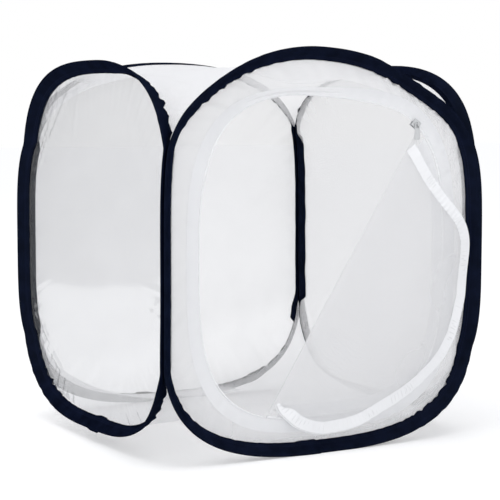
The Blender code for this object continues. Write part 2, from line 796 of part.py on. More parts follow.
def zip_slider(wall, metal):
    """The slider: two plates round the coils, joined by a post between them, with a lug for the pull."""
    back, front = zip_layer()
    spot = door_point(SLIDER_ANGLE, 0)
    radial = (spot - track_circle()).normalized()
    origin = wall.point(spot.x, spot.y, SHEET_PLANE)
    outward = Vector((radial.x, 0, radial.y))
    forward = Vector((-radial.y, 0, radial.x))
    towards = Vector((0, -1, 0))
    turned = Matrix((forward, outward, towards)).transposed().to_4x4()
    place = Matrix.Translation(origin) @ turned
    half_length = SLIDER_LENGTH / 2
    half_width = SLIDER_WIDTH / 2
    top = back + ZIP_COIL + SLIDER_PLAY
    under = back - SLIDER_PLAY
    body = add_block(
        "zip_slider",
        (-half_length, -half_width, top),
        (half_length, half_width, top + SLIDER_PLATE),
        place,
        metal,
    )
    under_plate = add_block(
        "slider_under_plate_guide",
        (-half_length, -half_width, under - SLIDER_PLATE),
        (half_length, half_width, under),
        place,
        metal,
    )
    post_edge = -SLIDER_POST_OFFSET
    post = add_block(
        "slider_post_guide",
        (half_length - SLIDER_POST_LENGTH, post_edge - SLIDER_POST_WIDTH, under - SLIDER_PLATE / 2),
        (half_length - SLIDER_POST_LENGTH / 2, post_edge, top + SLIDER_PLATE / 2),
        place,
        metal,
    )
    upright = Matrix.Translation(origin) @ Matrix(((1, 0, 0), (0, 0, 1), (0, -1, 0))).transposed().to_4x4()
    plate_top = top + SLIDER_PLATE
    lug_top = plate_top + LUG_RISE + LUG_BAR
    half_lug = LUG_WIDTH / 2
    half_bar = LUG_BAR / 2
    combine(body, post, "UNION")
    combine(body, under_plate, "UNION")
    lug = add_block(
        "slider_lug_guide",
        (-half_bar, -half_lug, plate_top - SLIDER_PLATE / 2),
        (half_bar, half_lug, lug_top),
        upright,
        metal,
    )
    eye = add_block(
        "slider_eye_guide",
        (-LUG_BAR, -half_lug + LUG_BAR, plate_top),
        (LUG_BAR, half_lug - LUG_BAR, lug_top - LUG_BAR),
        upright,
        metal,
    )
    combine(body, lug, "UNION")
    combine(body, eye, "DIFFERENCE")
    bar_out = plate_top + LUG_RISE / 2
    return body, upright, bar_out


def zip_pull(upright, bar_out, metal):
    """The pull: a tapered tab whose upper rim lies in the lug's eye."""
    half = PULL_PLATE / 2
    head = PULL_RIM / 2
    hole_foot = -head - PULL_HOLE_HEIGHT
    foot = head - PULL_LENGTH
    outline = (
        (-PULL_NECK / 2, head),
        (PULL_NECK / 2, head),
        (PULL_NECK / 2, hole_foot - PULL_RIM),
        (PULL_WIDTH / 2, foot + PULL_WIDTH / 4),
        (PULL_WIDTH / 4, foot),
        (-PULL_WIDTH / 4, foot),
        (-PULL_WIDTH / 2, foot + PULL_WIDTH / 4),
        (-PULL_NECK / 2, hole_foot - PULL_RIM),
    )
    sections = [[upright @ Vector((x, y, bar_out + side)) for x, y in outline] for side in (half, -half)]
    body = swept("zip_pull", sections, metal, False)
    side_room = PULL_NECK / 2 - PULL_RIM
    hole = add_block(
        "pull_eye_guide",
        (-side_room, hole_foot, bar_out - PULL_PLATE),
        (side_room, -head, bar_out + PULL_PLATE),
        upright,
        metal,
    )
    combine(body, hole, "DIFFERENCE")
    return body


def pivot(name, place, parent=None):
    """An empty on a joint's axis."""
    made = bpy.data.objects.new(name, None)
    made.empty_display_size = CASING_WIDTH
    bpy.context.collection.objects.link(made)
    made.matrix_world = Matrix.Translation(place)
    if parent is not None:
        hang_on(made, parent)
    return made


def hang_on(child, parent):
    """Parents a piece and leaves it where it is."""
    world = child.matrix_world.copy()
    child.parent = parent
    bpy.context.view_layer.update()
    child.matrix_parent_inverse = parent.matrix_world.inverted()
    child.matrix_world = world


def fold_corner(inset_by):
    """Plan distances of a fold axis from the middle: inside the seam if inset, and outside it if not."""
    across = FRONT_HALF_WIDTH + SEAM_STEP / 2 + inset_by
    depth = SIDE_HALF_WIDTH + SEAM_STEP / 2 + inset_by
    return across, depth


def clear_scene():
    for leftover in list(bpy.data.objects):
        bpy.data.objects.remove(leftover, do_unlink=True)


clear_scene()

FRONT_HOOP = Hoop(FRONT_HALF_WIDTH, FRONT_RISE, FRONT_DROP, FRONT_TOP_SHAPE, FRONT_FOOT_SHAPE)
SIDE_HOOP = Hoop(SIDE_HALF_WIDTH, SIDE_RISE, SIDE_DROP, SIDE_TOP_SHAPE, SIDE_FOOT_SHAPE)
PLAIN_SEAM = (SEAM_RISE, SEAM_DROP)
BACK_RIGHT_SEAM = (BACK_RIGHT_SEAM_RISE, BACK_RIGHT_SEAM_DROP)
SEAMS = (PLAIN_SEAM, BACK_RIGHT_SEAM, PLAIN_SEAM, PLAIN_SEAM)
FRONT_STATIONS = hoop_stations(FRONT_HOOP, SIDE_HOOP, PLAIN_SEAM, PLAIN_SEAM)
LOWEST_STATION = min(FRONT_STATIONS, key=lambda station: station.level)
WIDEST_LEVEL = HALF_WIDTH / ROOT_TWO - LOWEST_STATION.level
JOIN_STATION = 3 * (len(SEAM_LEVEL_SHARES) + ARC_STATIONS) - 4

FRONT_PULLS = (FRONT_RIGHT_PULL_SHARES, FRONT_LEFT_PULL_SHARES)

WALLS = {
    "front": Wall("front", FRONT_HOOP, SIDE_HOOP, 0, JOIN_STATION + 7, FRONT_PULLS),
    "right": Wall("right", SIDE_HOOP, FRONT_HOOP, 1, JOIN_STATION),
    "back": Wall("back", FRONT_HOOP, SIDE_HOOP, 2, JOIN_STATION),
    "left": Wall("left", SIDE_HOOP, FRONT_HOOP, 3, JOIN_STATION),
}

NAVY_TAPE = material("navy_tape", NAVY, 0.75)
MESH_WHITE = material("white_mesh", WHITE_MESH, 0.85, alpha=0.45)
CLOTH_WHITE = material("white_cloth", WHITE_CLOTH, 0.8)
CLEAR = material("clear_sheet", CLEAR_SHEET, 0.12, alpha=0.35)
STEEL = material("spring_steel", SPRING_STEEL, 0.35, metallic=1.0)
ZIP = material("zip_white", ZIP_WHITE, 0.6)
METAL = material("pale_metal", PALE_METAL, 0.4, metallic=0.8)

BODIES = {name: [] for name in WALLS}
for wall_name, each_wall in WALLS.items():
    BODIES[wall_name] += [casing(each_wall, NAVY_TAPE)] + spring_and_sleeve(each_wall, STEEL)
BODIES["front"].append(front_sheet(WALLS["front"], MESH_WHITE))
BODIES["right"].append(plain_wall_sheet(WALLS["right"], "right_mesh", MESH_WHITE))
BODIES["back"].append(plain_wall_sheet(WALLS["back"], "back_mesh", MESH_WHITE))
BODIES["left"].append(plain_wall_sheet(WALLS["left"], "left_window", CLEAR))
BODIES["front"] += [
    grid_solid("top_cover", cover_points(WALLS, True), SHEET, CLOTH_WHITE),
    grid_solid("floor_cover", cover_points(WALLS, False), SHEET, CLOTH_WHITE),
]
BODIES["front"] += door_zip(WALLS["front"], ZIP) + [door_lower(WALLS["front"], MESH_WHITE)]
FLAP = door_flap(WALLS["front"], MESH_WHITE, ZIP)
SLIDER, UPRIGHT, BAR_OUT = zip_slider(WALLS["front"], METAL)
PULL = zip_pull(UPRIGHT, BAR_OUT, METAL)

EDGE_FROM_MIDDLE = HALF_WIDTH / ROOT_TWO
INNER_ACROSS, INNER_DEPTH = fold_corner(-EDGE_FROM_MIDDLE - FOLD_LINE_INSET)
OUTER_ACROSS, OUTER_DEPTH = fold_corner(EDGE_FROM_MIDDLE + HALF_CASING + FOLD_LINE_OUTSET)
LEFT_PIVOT = pivot("left_wall_pivot", Vector((-INNER_ACROSS, -INNER_DEPTH, WIDEST_LEVEL)))
RIGHT_PIVOT = pivot("right_wall_pivot", Vector((OUTER_ACROSS, -OUTER_DEPTH, WIDEST_LEVEL)))
BACK_PIVOT = pivot("back_wall_pivot", Vector((-OUTER_ACROSS, OUTER_DEPTH, WIDEST_LEVEL)), LEFT_PIVOT)
FOLD_HEAD, FOLD_ALONG, _, FOLD_LENGTH = fold_frame()
FLAP_PIVOT = pivot(
    "door_flap_pivot",
    WALLS["front"].point(FOLD_HEAD.x, FOLD_HEAD.y, SHEET_PLANE + fold_out()),
)
TRACK_CENTRE = track_circle()
SLIDER_PIVOT = pivot("zip_slider_pivot", WALLS["front"].point(TRACK_CENTRE.x, TRACK_CENTRE.y, SHEET_PLANE))
PULL_PIVOT = pivot("zip_pull_pivot", UPRIGHT @ Vector((0, 0, BAR_OUT)), SLIDER_PIVOT)

for piece in BODIES["left"]:
    hang_on(piece, LEFT_PIVOT)
for piece in BODIES["right"]:
    hang_on(piece, RIGHT_PIVOT)
for piece in BODIES["back"]:
    hang_on(piece, BACK_PIVOT)
for piece in FLAP:
    hang_on(piece, FLAP_PIVOT)
hang_on(SLIDER, SLIDER_PIVOT)
hang_on(PULL, PULL_PIVOT)

bpy.context.view_layer.update()
for empty in (LEFT_PIVOT, RIGHT_PIVOT, BACK_PIVOT, FLAP_PIVOT, SLIDER_PIVOT, PULL_PIVOT):
    print(empty.name, [round(value, 6) for value in empty.matrix_world.translation])
print("door fold runs along", round(FOLD_ALONG.x, 6), round(FOLD_ALONG.y, 6), "for", round(FOLD_LENGTH, 4))
print("open pivot", round(INNER_ACROSS, 6), round(INNER_DEPTH, 6), "widest level", round(WIDEST_LEVEL, 6))
print("back and right stand off the sheets by", round(-SHEET_PLANE, 6), "seam step", round(SEAM_STEP, 6))
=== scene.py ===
import math

import bpy
import numpy as np
from mathutils import Matrix


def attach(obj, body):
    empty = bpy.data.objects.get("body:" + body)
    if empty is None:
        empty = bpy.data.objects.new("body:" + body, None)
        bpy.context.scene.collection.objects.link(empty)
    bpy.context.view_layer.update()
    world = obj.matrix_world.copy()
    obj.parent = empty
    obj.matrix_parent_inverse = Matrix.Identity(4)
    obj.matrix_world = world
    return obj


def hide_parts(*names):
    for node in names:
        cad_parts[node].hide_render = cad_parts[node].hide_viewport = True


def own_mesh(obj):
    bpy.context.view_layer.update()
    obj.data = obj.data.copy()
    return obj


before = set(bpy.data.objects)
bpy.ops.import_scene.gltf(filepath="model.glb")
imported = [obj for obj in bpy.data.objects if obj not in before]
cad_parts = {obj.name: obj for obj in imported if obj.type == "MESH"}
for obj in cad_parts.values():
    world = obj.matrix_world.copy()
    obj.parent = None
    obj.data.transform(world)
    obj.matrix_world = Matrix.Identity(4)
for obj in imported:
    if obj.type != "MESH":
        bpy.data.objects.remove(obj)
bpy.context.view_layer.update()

# Sizes repeated from the part, in metres: the level of the hoops' widest line, the step from one hoop to the next
# at a seam, and how far each corner's seam reaches above and below that line.
WIDEST = 0.190482
SEAM_STEP = 0.002475
SEAM = (0.113, 0.098)
SEAMS = (SEAM, (0.130, 0.081), SEAM, SEAM)
# How far the front hoop's upper corners are drawn in: the most, and its share at each of the places.
PULL = 0.012
PULL_PLACES = (0, 1, 2, 3, 4, 5, 6, 7, 7.5)
RIGHT_PULL_SHARES = (0, 0.30, 0.74, 1.0, 0.92, 0.55, 0.12, -0.18, -0.29)
LEFT_PULL_SHARES = (0, 0.16, 0.36, 0.40, 0.20, -0.10, -0.32, -0.40, -0.29)
NO_PULL = (0,) * len(PULL_PLACES)
# The casing's half width, its wire's place along it, the sheets' plane, the hoops' outlines and the door's.
HALF_FIN = 0.0075
WIRE = 0.0031
SHEET_PLANE = -0.005869
FRONT = dict(a=0.180, top=(0.2015, 2.2, 4.4), foot=(0.1855, 2.7, 4.6))
SIDE = dict(a=0.170, top=(0.194, 2.6, 4.8), foot=(0.1725, 3.2, 3.4))
DOOR = dict(a=0.143, b=0.1555, up=0.002, n=3.2)
ROOT2 = math.sqrt(2)
# Stations along a hoop.
STATIONS = 460


def ease(x):
    """From 0 to 1, smooth at both ends."""
    x = np.clip(x, 0, 1)
    return x * x * (3 - 2 * x)


def waves(s, lengths, seed):
    """A sum of sines that looks irregular, from -1 to 1."""
    total = 0
    for k, length in enumerate(lengths):
        total = total + np.sin(2 * np.pi * s / length + 1.7 * seed + 2.4 * k * (seed + 1)) / (1 + 0.5 * k)
    return total / sum(1 / (1 + 0.5 * k) for k in range(len(lengths)))


def run_of(line):
    """The distance along a line at each of its points."""
    return np.concatenate([[0], np.cumsum(np.linalg.norm(np.diff(line, axis=0), axis=1))])


def resample(line, run, s):
    """The line's columns at the distances s."""
    return np.stack([np.interp(s, run, column) for column in line.T], 1)


# The hoops' outlines.

def drift(hoop, v):
    """How far a hoop's outline lies inside its widest line, at a level."""
    v = np.asarray(v, float)
    out = np.zeros_like(v)
    for upward, key in ((True, "top"), (False, "foot")):
        reach, p, q = hoop[key]
        part = (v >= 0) if upward else (v < 0)
        out[part] = hoop["a"] * (1 - (1 - np.minimum(abs(v[part]) / reach, 1) ** q) ** (1 / p))
    return out


class Loop:
    """Even stations along one hoop: place across u, level v, normal n, lean and share of seam."""

    def __init__(self, hoop, neighbour, turns, join, pulls=(NO_PULL, NO_PULL)):
        self.hoop, self.neighbour = hoop, neighbour
        angle = turns * math.pi / 2
        self.turn = np.array([[math.cos(angle), -math.sin(angle), 0], [math.sin(angle), math.cos(angle), 0], [0, 0, 1]])
        right, left = SEAMS[turns], SEAMS[turns - 1]
        top = self.quadrant(1, True, right[0], pulls[0])
        left_top = self.quadrant(-1, True, left[0], pulls[1])
        left_foot = self.quadrant(-1, False, left[1], NO_PULL)
        foot = self.quadrant(1, False, right[1], NO_PULL)
        line = np.concatenate([top[:-1], left_top[::-1][:-1], left_foot[:-1], foot[::-1]])
        run = run_of(line[:, :2])
        self.length = run[-1]
        self.s = np.arange(STATIONS) * self.length / STATIONS
        even = resample(line, run, self.s)
        for _ in range(4):
            even[:, :2] = (np.roll(even[:, :2], 2, 0) + even[:, :2] + np.roll(even[:, :2], -2, 0)) / 3
        self.u, self.v, self.lean, self.seam = even[:, 0], even[:, 1], even[:, 4], even[:, 5]
        upper, lower = (np.where(self.u > 0, right[k], left[k]) for k in (0, 1))
        self.ends = np.where(self.v > 0, upper, lower)
        self.n = even[:, 2:4] / np.linalg.norm(even[:, 2:4], axis=1)[:, None]
        self.twist = np.zeros(STATIONS)
        low = np.arange(STATIONS // 2 + 1) <= 4
        self.soft_lean = np.fft.irfft(np.where(low, np.fft.rfft(self.lean), 0), STATIONS)
        off = abs(even[:, 6] - abs(join)) + 50.0 * (self.v > 0) + 50.0 * (self.u * join < 0)
        self.join = self.s[np.argmin(off)]

    def quadrant(self, side, upward, seam, pull):
        """One quarter of the outline, with its places counted from the seam's end."""
        reach, p, q = self.hoop["top" if upward else "foot"]
        wide_half, sign = self.hoop["a"], (1 if upward else -1)
        t = math.pi / 2 * np.linspace(0, 1, 700) ** 2.2
        wide, high = np.cos(t) ** (2 / p), np.sin(t) ** (2 / q)
        normal = np.stack([p / wide_half * wide ** (p - 1), q / reach * high ** (q - 1)], 1)
        normal /= np.linalg.norm(normal, axis=1)[:, None]
        start = math.asin((seam / reach) ** (q / 2))
        count = (t - start) / ((math.pi / 2 - start) / PULL_PLACES[-1])
        level = sign * reach * high
        at_seam = float(drift(self.neighbour, np.array([sign * seam]))[0])
        lean = np.where(count > 0, at_seam + (0.006 - at_seam) * ease(count / 7), drift(self.neighbour, level))
        inward = PULL * np.interp(count, PULL_PLACES, pull)
        weight = ease(count / 1.6)[:, None]
        facing = np.array([[1.0, 0.0]]) * (1 - weight) + normal * weight
        across = side * (wide_half * wide - normal[:, 0] * inward)
        level = level - sign * normal[:, 1] * inward
        seam_share = 1 - ease((abs(level) - seam + 0.010) / 0.016)
        return np.stack([across, level, side * facing[:, 0], sign * facing[:, 1], lean, seam_share, count], 1)

    def place(self, across, level, out):
        """From a wall's own place, level and distance outwards to the cage's frame."""
        distance = self.neighbour["a"] + SEAM_STEP + out
        spots = np.stack(np.broadcast_arrays(across, -distance, level + WIDEST), -1)
        return spots @ self.turn.T

    def at(self, outward, out):
        """The stations moved outward in the hoop's plane and out from it."""
        return self.place(self.u + self.n[:, 0] * outward, self.v + self.n[:, 1] * outward, out - self.lean)

    def fin(self, along, through):
        """A point on the casing's fin, which may be twisted about its wire."""
        c, s = np.cos(self.twist), np.sin(self.twist)
        a = WIRE + (along - WIRE) * c - through * s
        t = (along - WIRE) * s + through * c
        return self.at((a - t) / ROOT2, (a + t) / ROOT2)

    def turned(self, outward, out):
        """As at, but turned with the fin's twist."""
        return self.fin((outward + out) / ROOT2, (out - outward) / ROOT2)


LOOPS = {
    "front": Loop(FRONT, SIDE, 0, 3.5, (RIGHT_PULL_SHARES, LEFT_PULL_SHARES)),
    "right": Loop(SIDE, FRONT, 1, -4.5),
    "back": Loop(FRONT, SIDE, 2, -4.5),
    "left": Loop(SIDE, FRONT, 3, -4.5),
}
FRONT_LOOP = LOOPS["front"]

SIDE_TWIST, BACK_TWIST = math.radians(19), math.radians(38)
for name, reach in (("left", 0.07), ("right", 0.08)):
    hoop = LOOPS[name]
    hoop.twist = SIDE_TWIST * ease((abs(hoop.v) - hoop.ends) / 0.022) * ease((hoop.u - 0.03) / reach)
hoop = LOOPS["back"]
hoop.twist = BACK_TWIST * ease((hoop.v - hoop.ends) / 0.03) * ease((hoop.u + 0.12) / 0.08)
# How far a casing is cut back: the left one along the back left seam, where the clear sheet shows, and the right
# one on its upper front arc.
CUT = {name: np.zeros(STATIONS) for name in LOOPS}
hoop = LOOPS["left"]
CUT["left"] = 0.0056 * hoop.seam * (hoop.u < 0)
hoop = LOOPS["right"]
CUT["right"] = 0.0045 * ease((hoop.v - 0.105) / 0.02) * ease((-hoop.u - 0.02) / 0.04)
# Width of the tape lapped inside along the seams: wall, side of the wall, width.
LAPS = {"right": ((1, 0.015),), "back": ((-1, 0.0036),), "left": ((-1, 0.0074),), "front": ()}


# Meshes.

def linked(name, data):
    made = bpy.data.objects.new(name, data)
    bpy.context.scene.collection.objects.link(made)
    return made


def cloth_mesh(name, verts, faces, uv, mat):
    """A smooth mesh with a uv pair, in metres, for each corner of its faces."""
    mesh = bpy.data.meshes.new(name)
    mesh.from_pydata(verts.tolist(), [], faces)
    mesh.uv_layers.new(name="cloth").data.foreach_set("uv", np.array(uv, float).ravel())
    mesh.materials.append(mat)
    mesh.shade_smooth()
    return linked(name, mesh)


def grid_mesh(name, grid, uv, mat, close_u=False, close_v=False):
    """A mesh from a grid of points [rows][columns][3]. A side that closes has one more row or column of uv."""
    rows, cols = grid.shape[:2]
    faces, corners = [], []
    for i in range(rows if close_u else rows - 1):
        for j in range(cols if close_v else cols - 1):
            i2, j2 = (i + 1) % rows, (j + 1) % cols
            faces.append((i * cols + j, i2 * cols + j, i2 * cols + j2, i * cols + j2))
            corners.append((uv[i, j], uv[i + 1, j], uv[i + 1, j + 1], uv[i, j + 1]))
    return cloth_mesh(name, grid.reshape(-1, 3), faces, corners, mat)


def fan_mesh(name, rows, uv, mat):
    """A mesh from closed rings, the last one a single point."""
    count = len(rows[0])
    verts = np.concatenate(rows[:-1] + [rows[-1][:1]])
    coords = np.concatenate(uv[:-1] + [uv[-1][:1]])
    faces = []
    for r in range(len(rows) - 2):
        for j in range(count):
            k = (j + 1) % count
            faces.append((r * count + j, r * count + k, (r + 1) * count + k, (r + 1) * count + j))
    hub, last = len(verts) - 1, (len(rows) - 2) * count
    faces += [(last + j, last + (j + 1) % count, hub) for j in range(count)]
    return cloth_mesh(name, verts, faces, coords[[v for face in faces for v in face]], mat)


# Materials. Their uv is in metres: u along the cloth, v across it.

class Nodes:
    """Short calls for the nodes of a material or of the world."""

    SETTINGS = ("operation", "data_type")

    def __init__(self, name, kind="Material"):
        self.owner = (bpy.data.worlds if kind == "World" else bpy.data.materials).new(name)
        self.owner.use_nodes = True
        self.tree = self.owner.node_tree
        self.tree.nodes.clear()
        self.out = self.add("Output" + kind)

    def add(self, kind, **values):
        """A node, its inputs given by number, as i0, or by name, with _ for a space."""
        node = self.tree.nodes.new("ShaderNode" + kind)
        for key in self.SETTINGS:
            if key in values:
                setattr(node, key, values.pop(key))
        for key, value in values.items():
            numbered = key[0] == "i" and key[1:].isdigit()
            socket = node.inputs[int(key[1:]) if numbered else key.replace("_", " ")]
            if isinstance(value, bpy.types.NodeSocket):
                self.tree.links.new(value, socket)
            else:
                socket.default_value = value
        return node

    def get(self, kind, **values):
        """The first output of a new node."""
        return self.add(kind, **values).outputs[0]

    def math(self, operation, a, b=0.0):
        return self.get("Math", operation=operation, i0=a, i1=b)

    def plus(self, a, b):
        return self.math("ADD", a, b)

    def times(self, a, b):
        return self.math("MULTIPLY", a, b)

    def most(self, a, b):
        return self.math("MAXIMUM", a, b)

    def wave(self, value, pitch, kind="SINE"):
        return self.math(kind, self.times(value, 2 * math.pi / pitch))

    def ramp(self, value, low, high, a, b):
        """a up to the low value, b from the high one on."""
        return self.get("MapRange", Value=value, From_Min=low, From_Max=high, To_Min=a, To_Max=b)

    def noise(self, where, scale, detail):
        return self.get("TexNoise", Vector=where, Scale=scale, Detail=detail)

    def bump(self, strength, distance, height):
        return self.get("Bump", Strength=strength, Distance=distance, Height=height)

    def blend(self, share, low, high):
        """A colour between two."""
        return self.add("Mix", data_type="RGBA", i0=share, i6=low, i7=high).outputs[2]

    def mix(self, share, one, other):
        """A shader between two."""
        return self.get("MixShader", i0=share, i1=one, i2=other)

    def uv(self):
        pair = self.get("UVMap")
        split = self.add("SeparateXYZ", i0=pair)
        return pair, split.outputs[0], split.outputs[1]

    def end(self, shader):
        self.tree.links.new(shader, self.out.inputs[0])
        return self.owner


def stitch_mask(n, u, v, lines):
    """1 on the stitches: dashes along u at the given v lines."""
    pitch, dash_share, half_width = 0.003, 0.72, 0.0003
    total = None
    dash = n.math("LESS_THAN", n.math("FRACT", n.math("DIVIDE", u, pitch)), dash_share)
    for line in lines:
        near = n.math("LESS_THAN", n.math("ABSOLUTE", n.math("SUBTRACT", v, line)), half_width)
        one = n.times(near, dash)
        total = one if total is None else n.most(total, one)
    return total


def casing_material():
    """Dark ribbed tape, stitched twice near its inner edge."""
    n = Nodes("navy_tape")
    uv, u, v = n.uv()
    weave = n.times(n.wave(u, 0.0009), n.wave(v, 0.0007))
    cloud = n.noise(uv, 70.0, 3.0)
    stitches = stitch_mask(n, u, v, (0.0034, 0.0050))
    tone = n.plus(n.times(weave, 0.16), n.ramp(cloud, 0.3, 0.7, -0.35, 0.45))
    navy = n.blend(n.ramp(tone, -0.5, 0.8, 0.0, 1.0), (0.0011, 0.0019, 0.0064, 1), (0.0050, 0.0078, 0.0232, 1))
    colour = n.blend(stitches, navy, (0.007, 0.010, 0.028, 1))
    height = n.plus(n.times(weave, 0.25), n.times(n.noise(uv, 320.0, 2.0), 1.2))
    bump = n.bump(0.35, 0.0003, n.plus(height, stitches))
    cloth = n.get("BsdfDiffuse", Roughness=0.6, Normal=bump, Color=colour)
    gloss = n.ramp(cloud, 0.3, 0.7, 0.42, 0.55)
    shine = n.get("BsdfGlossy", Roughness=gloss, Normal=bump, Color=(0.55, 0.70, 1.0, 1))
    return n.end(n.mix(0.005, cloth, shine))


def mesh_material(name, edge, tint=(0.88, 0.88, 0.888), pitch=0.00062, corners=None):
    """Fine knitted mesh: threads round small holes, which close as the mesh turns away. They close less in the
    top cover's back corners (corners="top"), and in the floor cover but for the middle of its back ("floor")."""
    n = Nodes(name)
    uv, u, v = n.uv()
    cell = n.times(n.wave(u, pitch, "COSINE"), n.wave(v, pitch, "COSINE"))
    hole = n.math("GREATER_THAN", cell, edge)
    turned = n.math("SUBTRACT", 1.0, n.add("LayerWeight", Blend=0.5).outputs["Facing"])
    kept = 0.58
    if corners:
        side = n.most(n.ramp(u, 0.0, 0.06, 0.0, 1.0), n.ramp(u, -0.14, -0.12, 1.0, 0.0))
        if corners == "top":
            share = n.times(side, n.ramp(v, 0.04, 0.09, 0.0, 1.0))
        else:
            share = n.most(side, n.ramp(v, 0.09, 0.13, 1.0, 0.0))
        kept = n.ramp(share, 0.0, 1.0, 0.55, 1.0)
    steep = n.math("SUBTRACT", n.math("DIVIDE", 1.0, n.most(turned, 0.12)), 1.0)
    closing = n.math("POWER", kept, steep)
    veil = n.times(n.times(hole, closing), n.ramp(n.noise(uv, 18.0, 2.0), 0.3, 0.7, 0.90, 1.0))
    bump = n.bump(0.25, 0.0002, cell)
    body = n.get("BsdfPrincipled", Roughness=0.75, Normal=bump, Base_Color=(*tint, 1), Specular_IOR_Level=0.2)
    thread = n.mix(0.42, body, n.get("BsdfTranslucent", Color=(*tint, 1)))
    return n.end(n.mix(veil, thread, n.get("BsdfTransparent")))


def tape_material(name, tint, glow_share, painted_light_stretch=None, puckers_with_painted_shade=False):
    """White ribbed zip tape, stitched twice. A stretch of painted light, lighter where light falls on the top of the
    door's opening, is given by where along the tape its two ends start and stop to fade. Puckers are ridges and gathers
    in patches, with painted shade on their ridges."""
    n = Nodes(name)
    uv, u, v = n.uv()
    weave = n.times(n.wave(u, 0.0006), n.wave(v, 0.0006 * 2.2))
    cloud = n.noise(uv, 90.0, 3.0)
    height = n.plus(n.times(weave, 0.35), n.times(cloud, 1.4))
    height = n.plus(height, n.times(stitch_mask(n, u, v, (0.0045, 0.0105)), -0.8))
    # Painted light: the stretch of tape along the top of the door's opening is painted lighter, where light falls on
    # it.
    if painted_light_stretch:
        top = n.times(n.ramp(u, *painted_light_stretch[:2], 0.0, 1.0), n.ramp(u, *painted_light_stretch[2:], 1.0, 0.0))
        tone = n.times(top, n.ramp(cloud, 0.3, 0.7, 0.7, 1.0))
        shaded_colour, lit_colour = tint, (0.97, 0.975, 0.985)
    if puckers_with_painted_shade:
        patch = n.noise(uv, 38.0, 1.0)
        ridge = n.wave(n.plus(u, n.times(patch, 0.020)), 0.0052)
        teeth = n.wave(u, 0.0026)
        band = n.times(n.ramp(v, 0.0030, 0.0045, 0.15, 1.0), n.ramp(v, 0.0095, 0.0115, 1.0, 0.2))
        where = n.times(n.ramp(patch, 0.50, 0.60, 0.10, 1.0), band)
        mark = n.plus(n.times(ridge, 0.55), n.times(teeth, 0.45))
        height = n.plus(height, n.times(n.times(mark, where), 2.2))
        # Painted shade: the tape is darkened on the puckers' ridges and gathers, where shade falls between them.
        tone = n.math("SUBTRACT", 1.0, n.times(n.ramp(mark, 0.0, 0.9, 0.0, 1.0), where))
        shaded_colour, lit_colour = [c * 0.84 for c in tint], tint
    colour = n.blend(tone, (*shaded_colour, 1), (*lit_colour, 1))
    bump = n.bump(0.3, 0.0003, height)
    body = n.get("BsdfPrincipled", Roughness=0.7, Normal=bump, Base_Color=colour, Specular_IOR_Level=0.25)
    return n.end(n.mix(glow_share, body, n.get("BsdfTranslucent", Color=colour)))


def window_material():
    """Clear soft vinyl: it lets light straight through, with a faint grey cast, and mirrors at grazing angles."""
    n = Nodes("clear_vinyl")
    bump = n.bump(0.035, 0.004, n.noise(n.uv()[0], 7.0, 0.0))
    clear = n.get("BsdfTransparent", Color=(0.955, 0.957, 0.962, 1))
    haze = n.get("BsdfDiffuse", Roughness=0.5, Color=(0.80, 0.81, 0.82, 1))
    gloss = n.get("BsdfGlossy", Roughness=0.09, Normal=bump, Color=(1, 1, 1, 1))
    return n.end(n.mix(n.get("Fresnel", IOR=1.62, Normal=bump), n.mix(0.10, clear, haze), gloss))


def plain_material(name, colour, rough, metal=0.0):
    """Nylon, enamel or steel, faintly mottled."""
    n = Nodes(name)
    cloud = n.noise(n.add("TexCoord").outputs["Object"], 400.0, 3.0)
    shade = n.blend(n.ramp(cloud, 0.3, 0.7, 0.0, 1.0), (*[c * 0.88 for c in colour], 1), (*colour, 1))
    spread = n.ramp(cloud, 0.2, 0.8, rough - 0.06, rough + 0.06)
    bump = n.bump(0.08, 0.0002, cloud)
    return n.end(n.get("BsdfPrincipled", Roughness=spread, Normal=bump, Base_Color=shade, Metallic=metal))


CASING = casing_material()
MESH = mesh_material("white_knit_mesh", 0.065)
FLAP_MESH = mesh_material("white_flap_mesh", 0.065, pitch=0.00041)
BACK_MESH = mesh_material("white_back_mesh", 0.065, pitch=0.00047)
CLOTH = mesh_material("white_cover_cloth", 0.14, (0.93, 0.93, 0.945), 0.0006, "top")
FLOOR_CLOTH = mesh_material("white_floor_cloth", 0.14, (0.95, 0.95, 0.96), 0.0006, "floor")
VINYL = window_material()
# The frame's tape is tinted darker than the flap's, though it is the same tape: painted shade, with painted light on
# its top stretch.
TAPE = tape_material("white_zip_tape", (0.885, 0.89, 0.905), 0.3, painted_light_stretch=(0.06, 0.11, 0.17, 0.25))
# The flap's tape has puckers, with painted shade in their gathers.
FLAP_TAPE = tape_material("white_flap_tape", (0.95, 0.955, 0.97), 0.15, puckers_with_painted_shade=True)
COIL = plain_material("nylon_coil", (0.90, 0.905, 0.92), 0.42)
ENAMEL = plain_material("pale_enamel", (0.62, 0.63, 0.64), 0.35, metal=0.2)
STEEL = plain_material("spring_steel", (0.42, 0.43, 0.45), 0.35, metal=1.0)


# Casings. The fin's outline: along it from its inner edge, and through it.
SECTION = np.array([
    (-7.5, 0.30), (-7.42, 0.95), (-6.7, 1.18), (-5.2, 1.10), (-3.2, 1.12), (-1.2, 1.30), (0.8, 1.50),
    (2.8, 1.55), (4.6, 1.42), (5.9, 1.10), (6.6, 0.70), (6.95, 0.0),
]) / 1000
SECTION = np.concatenate([SECTION, (SECTION * (1, -1))[::-1][1:]])

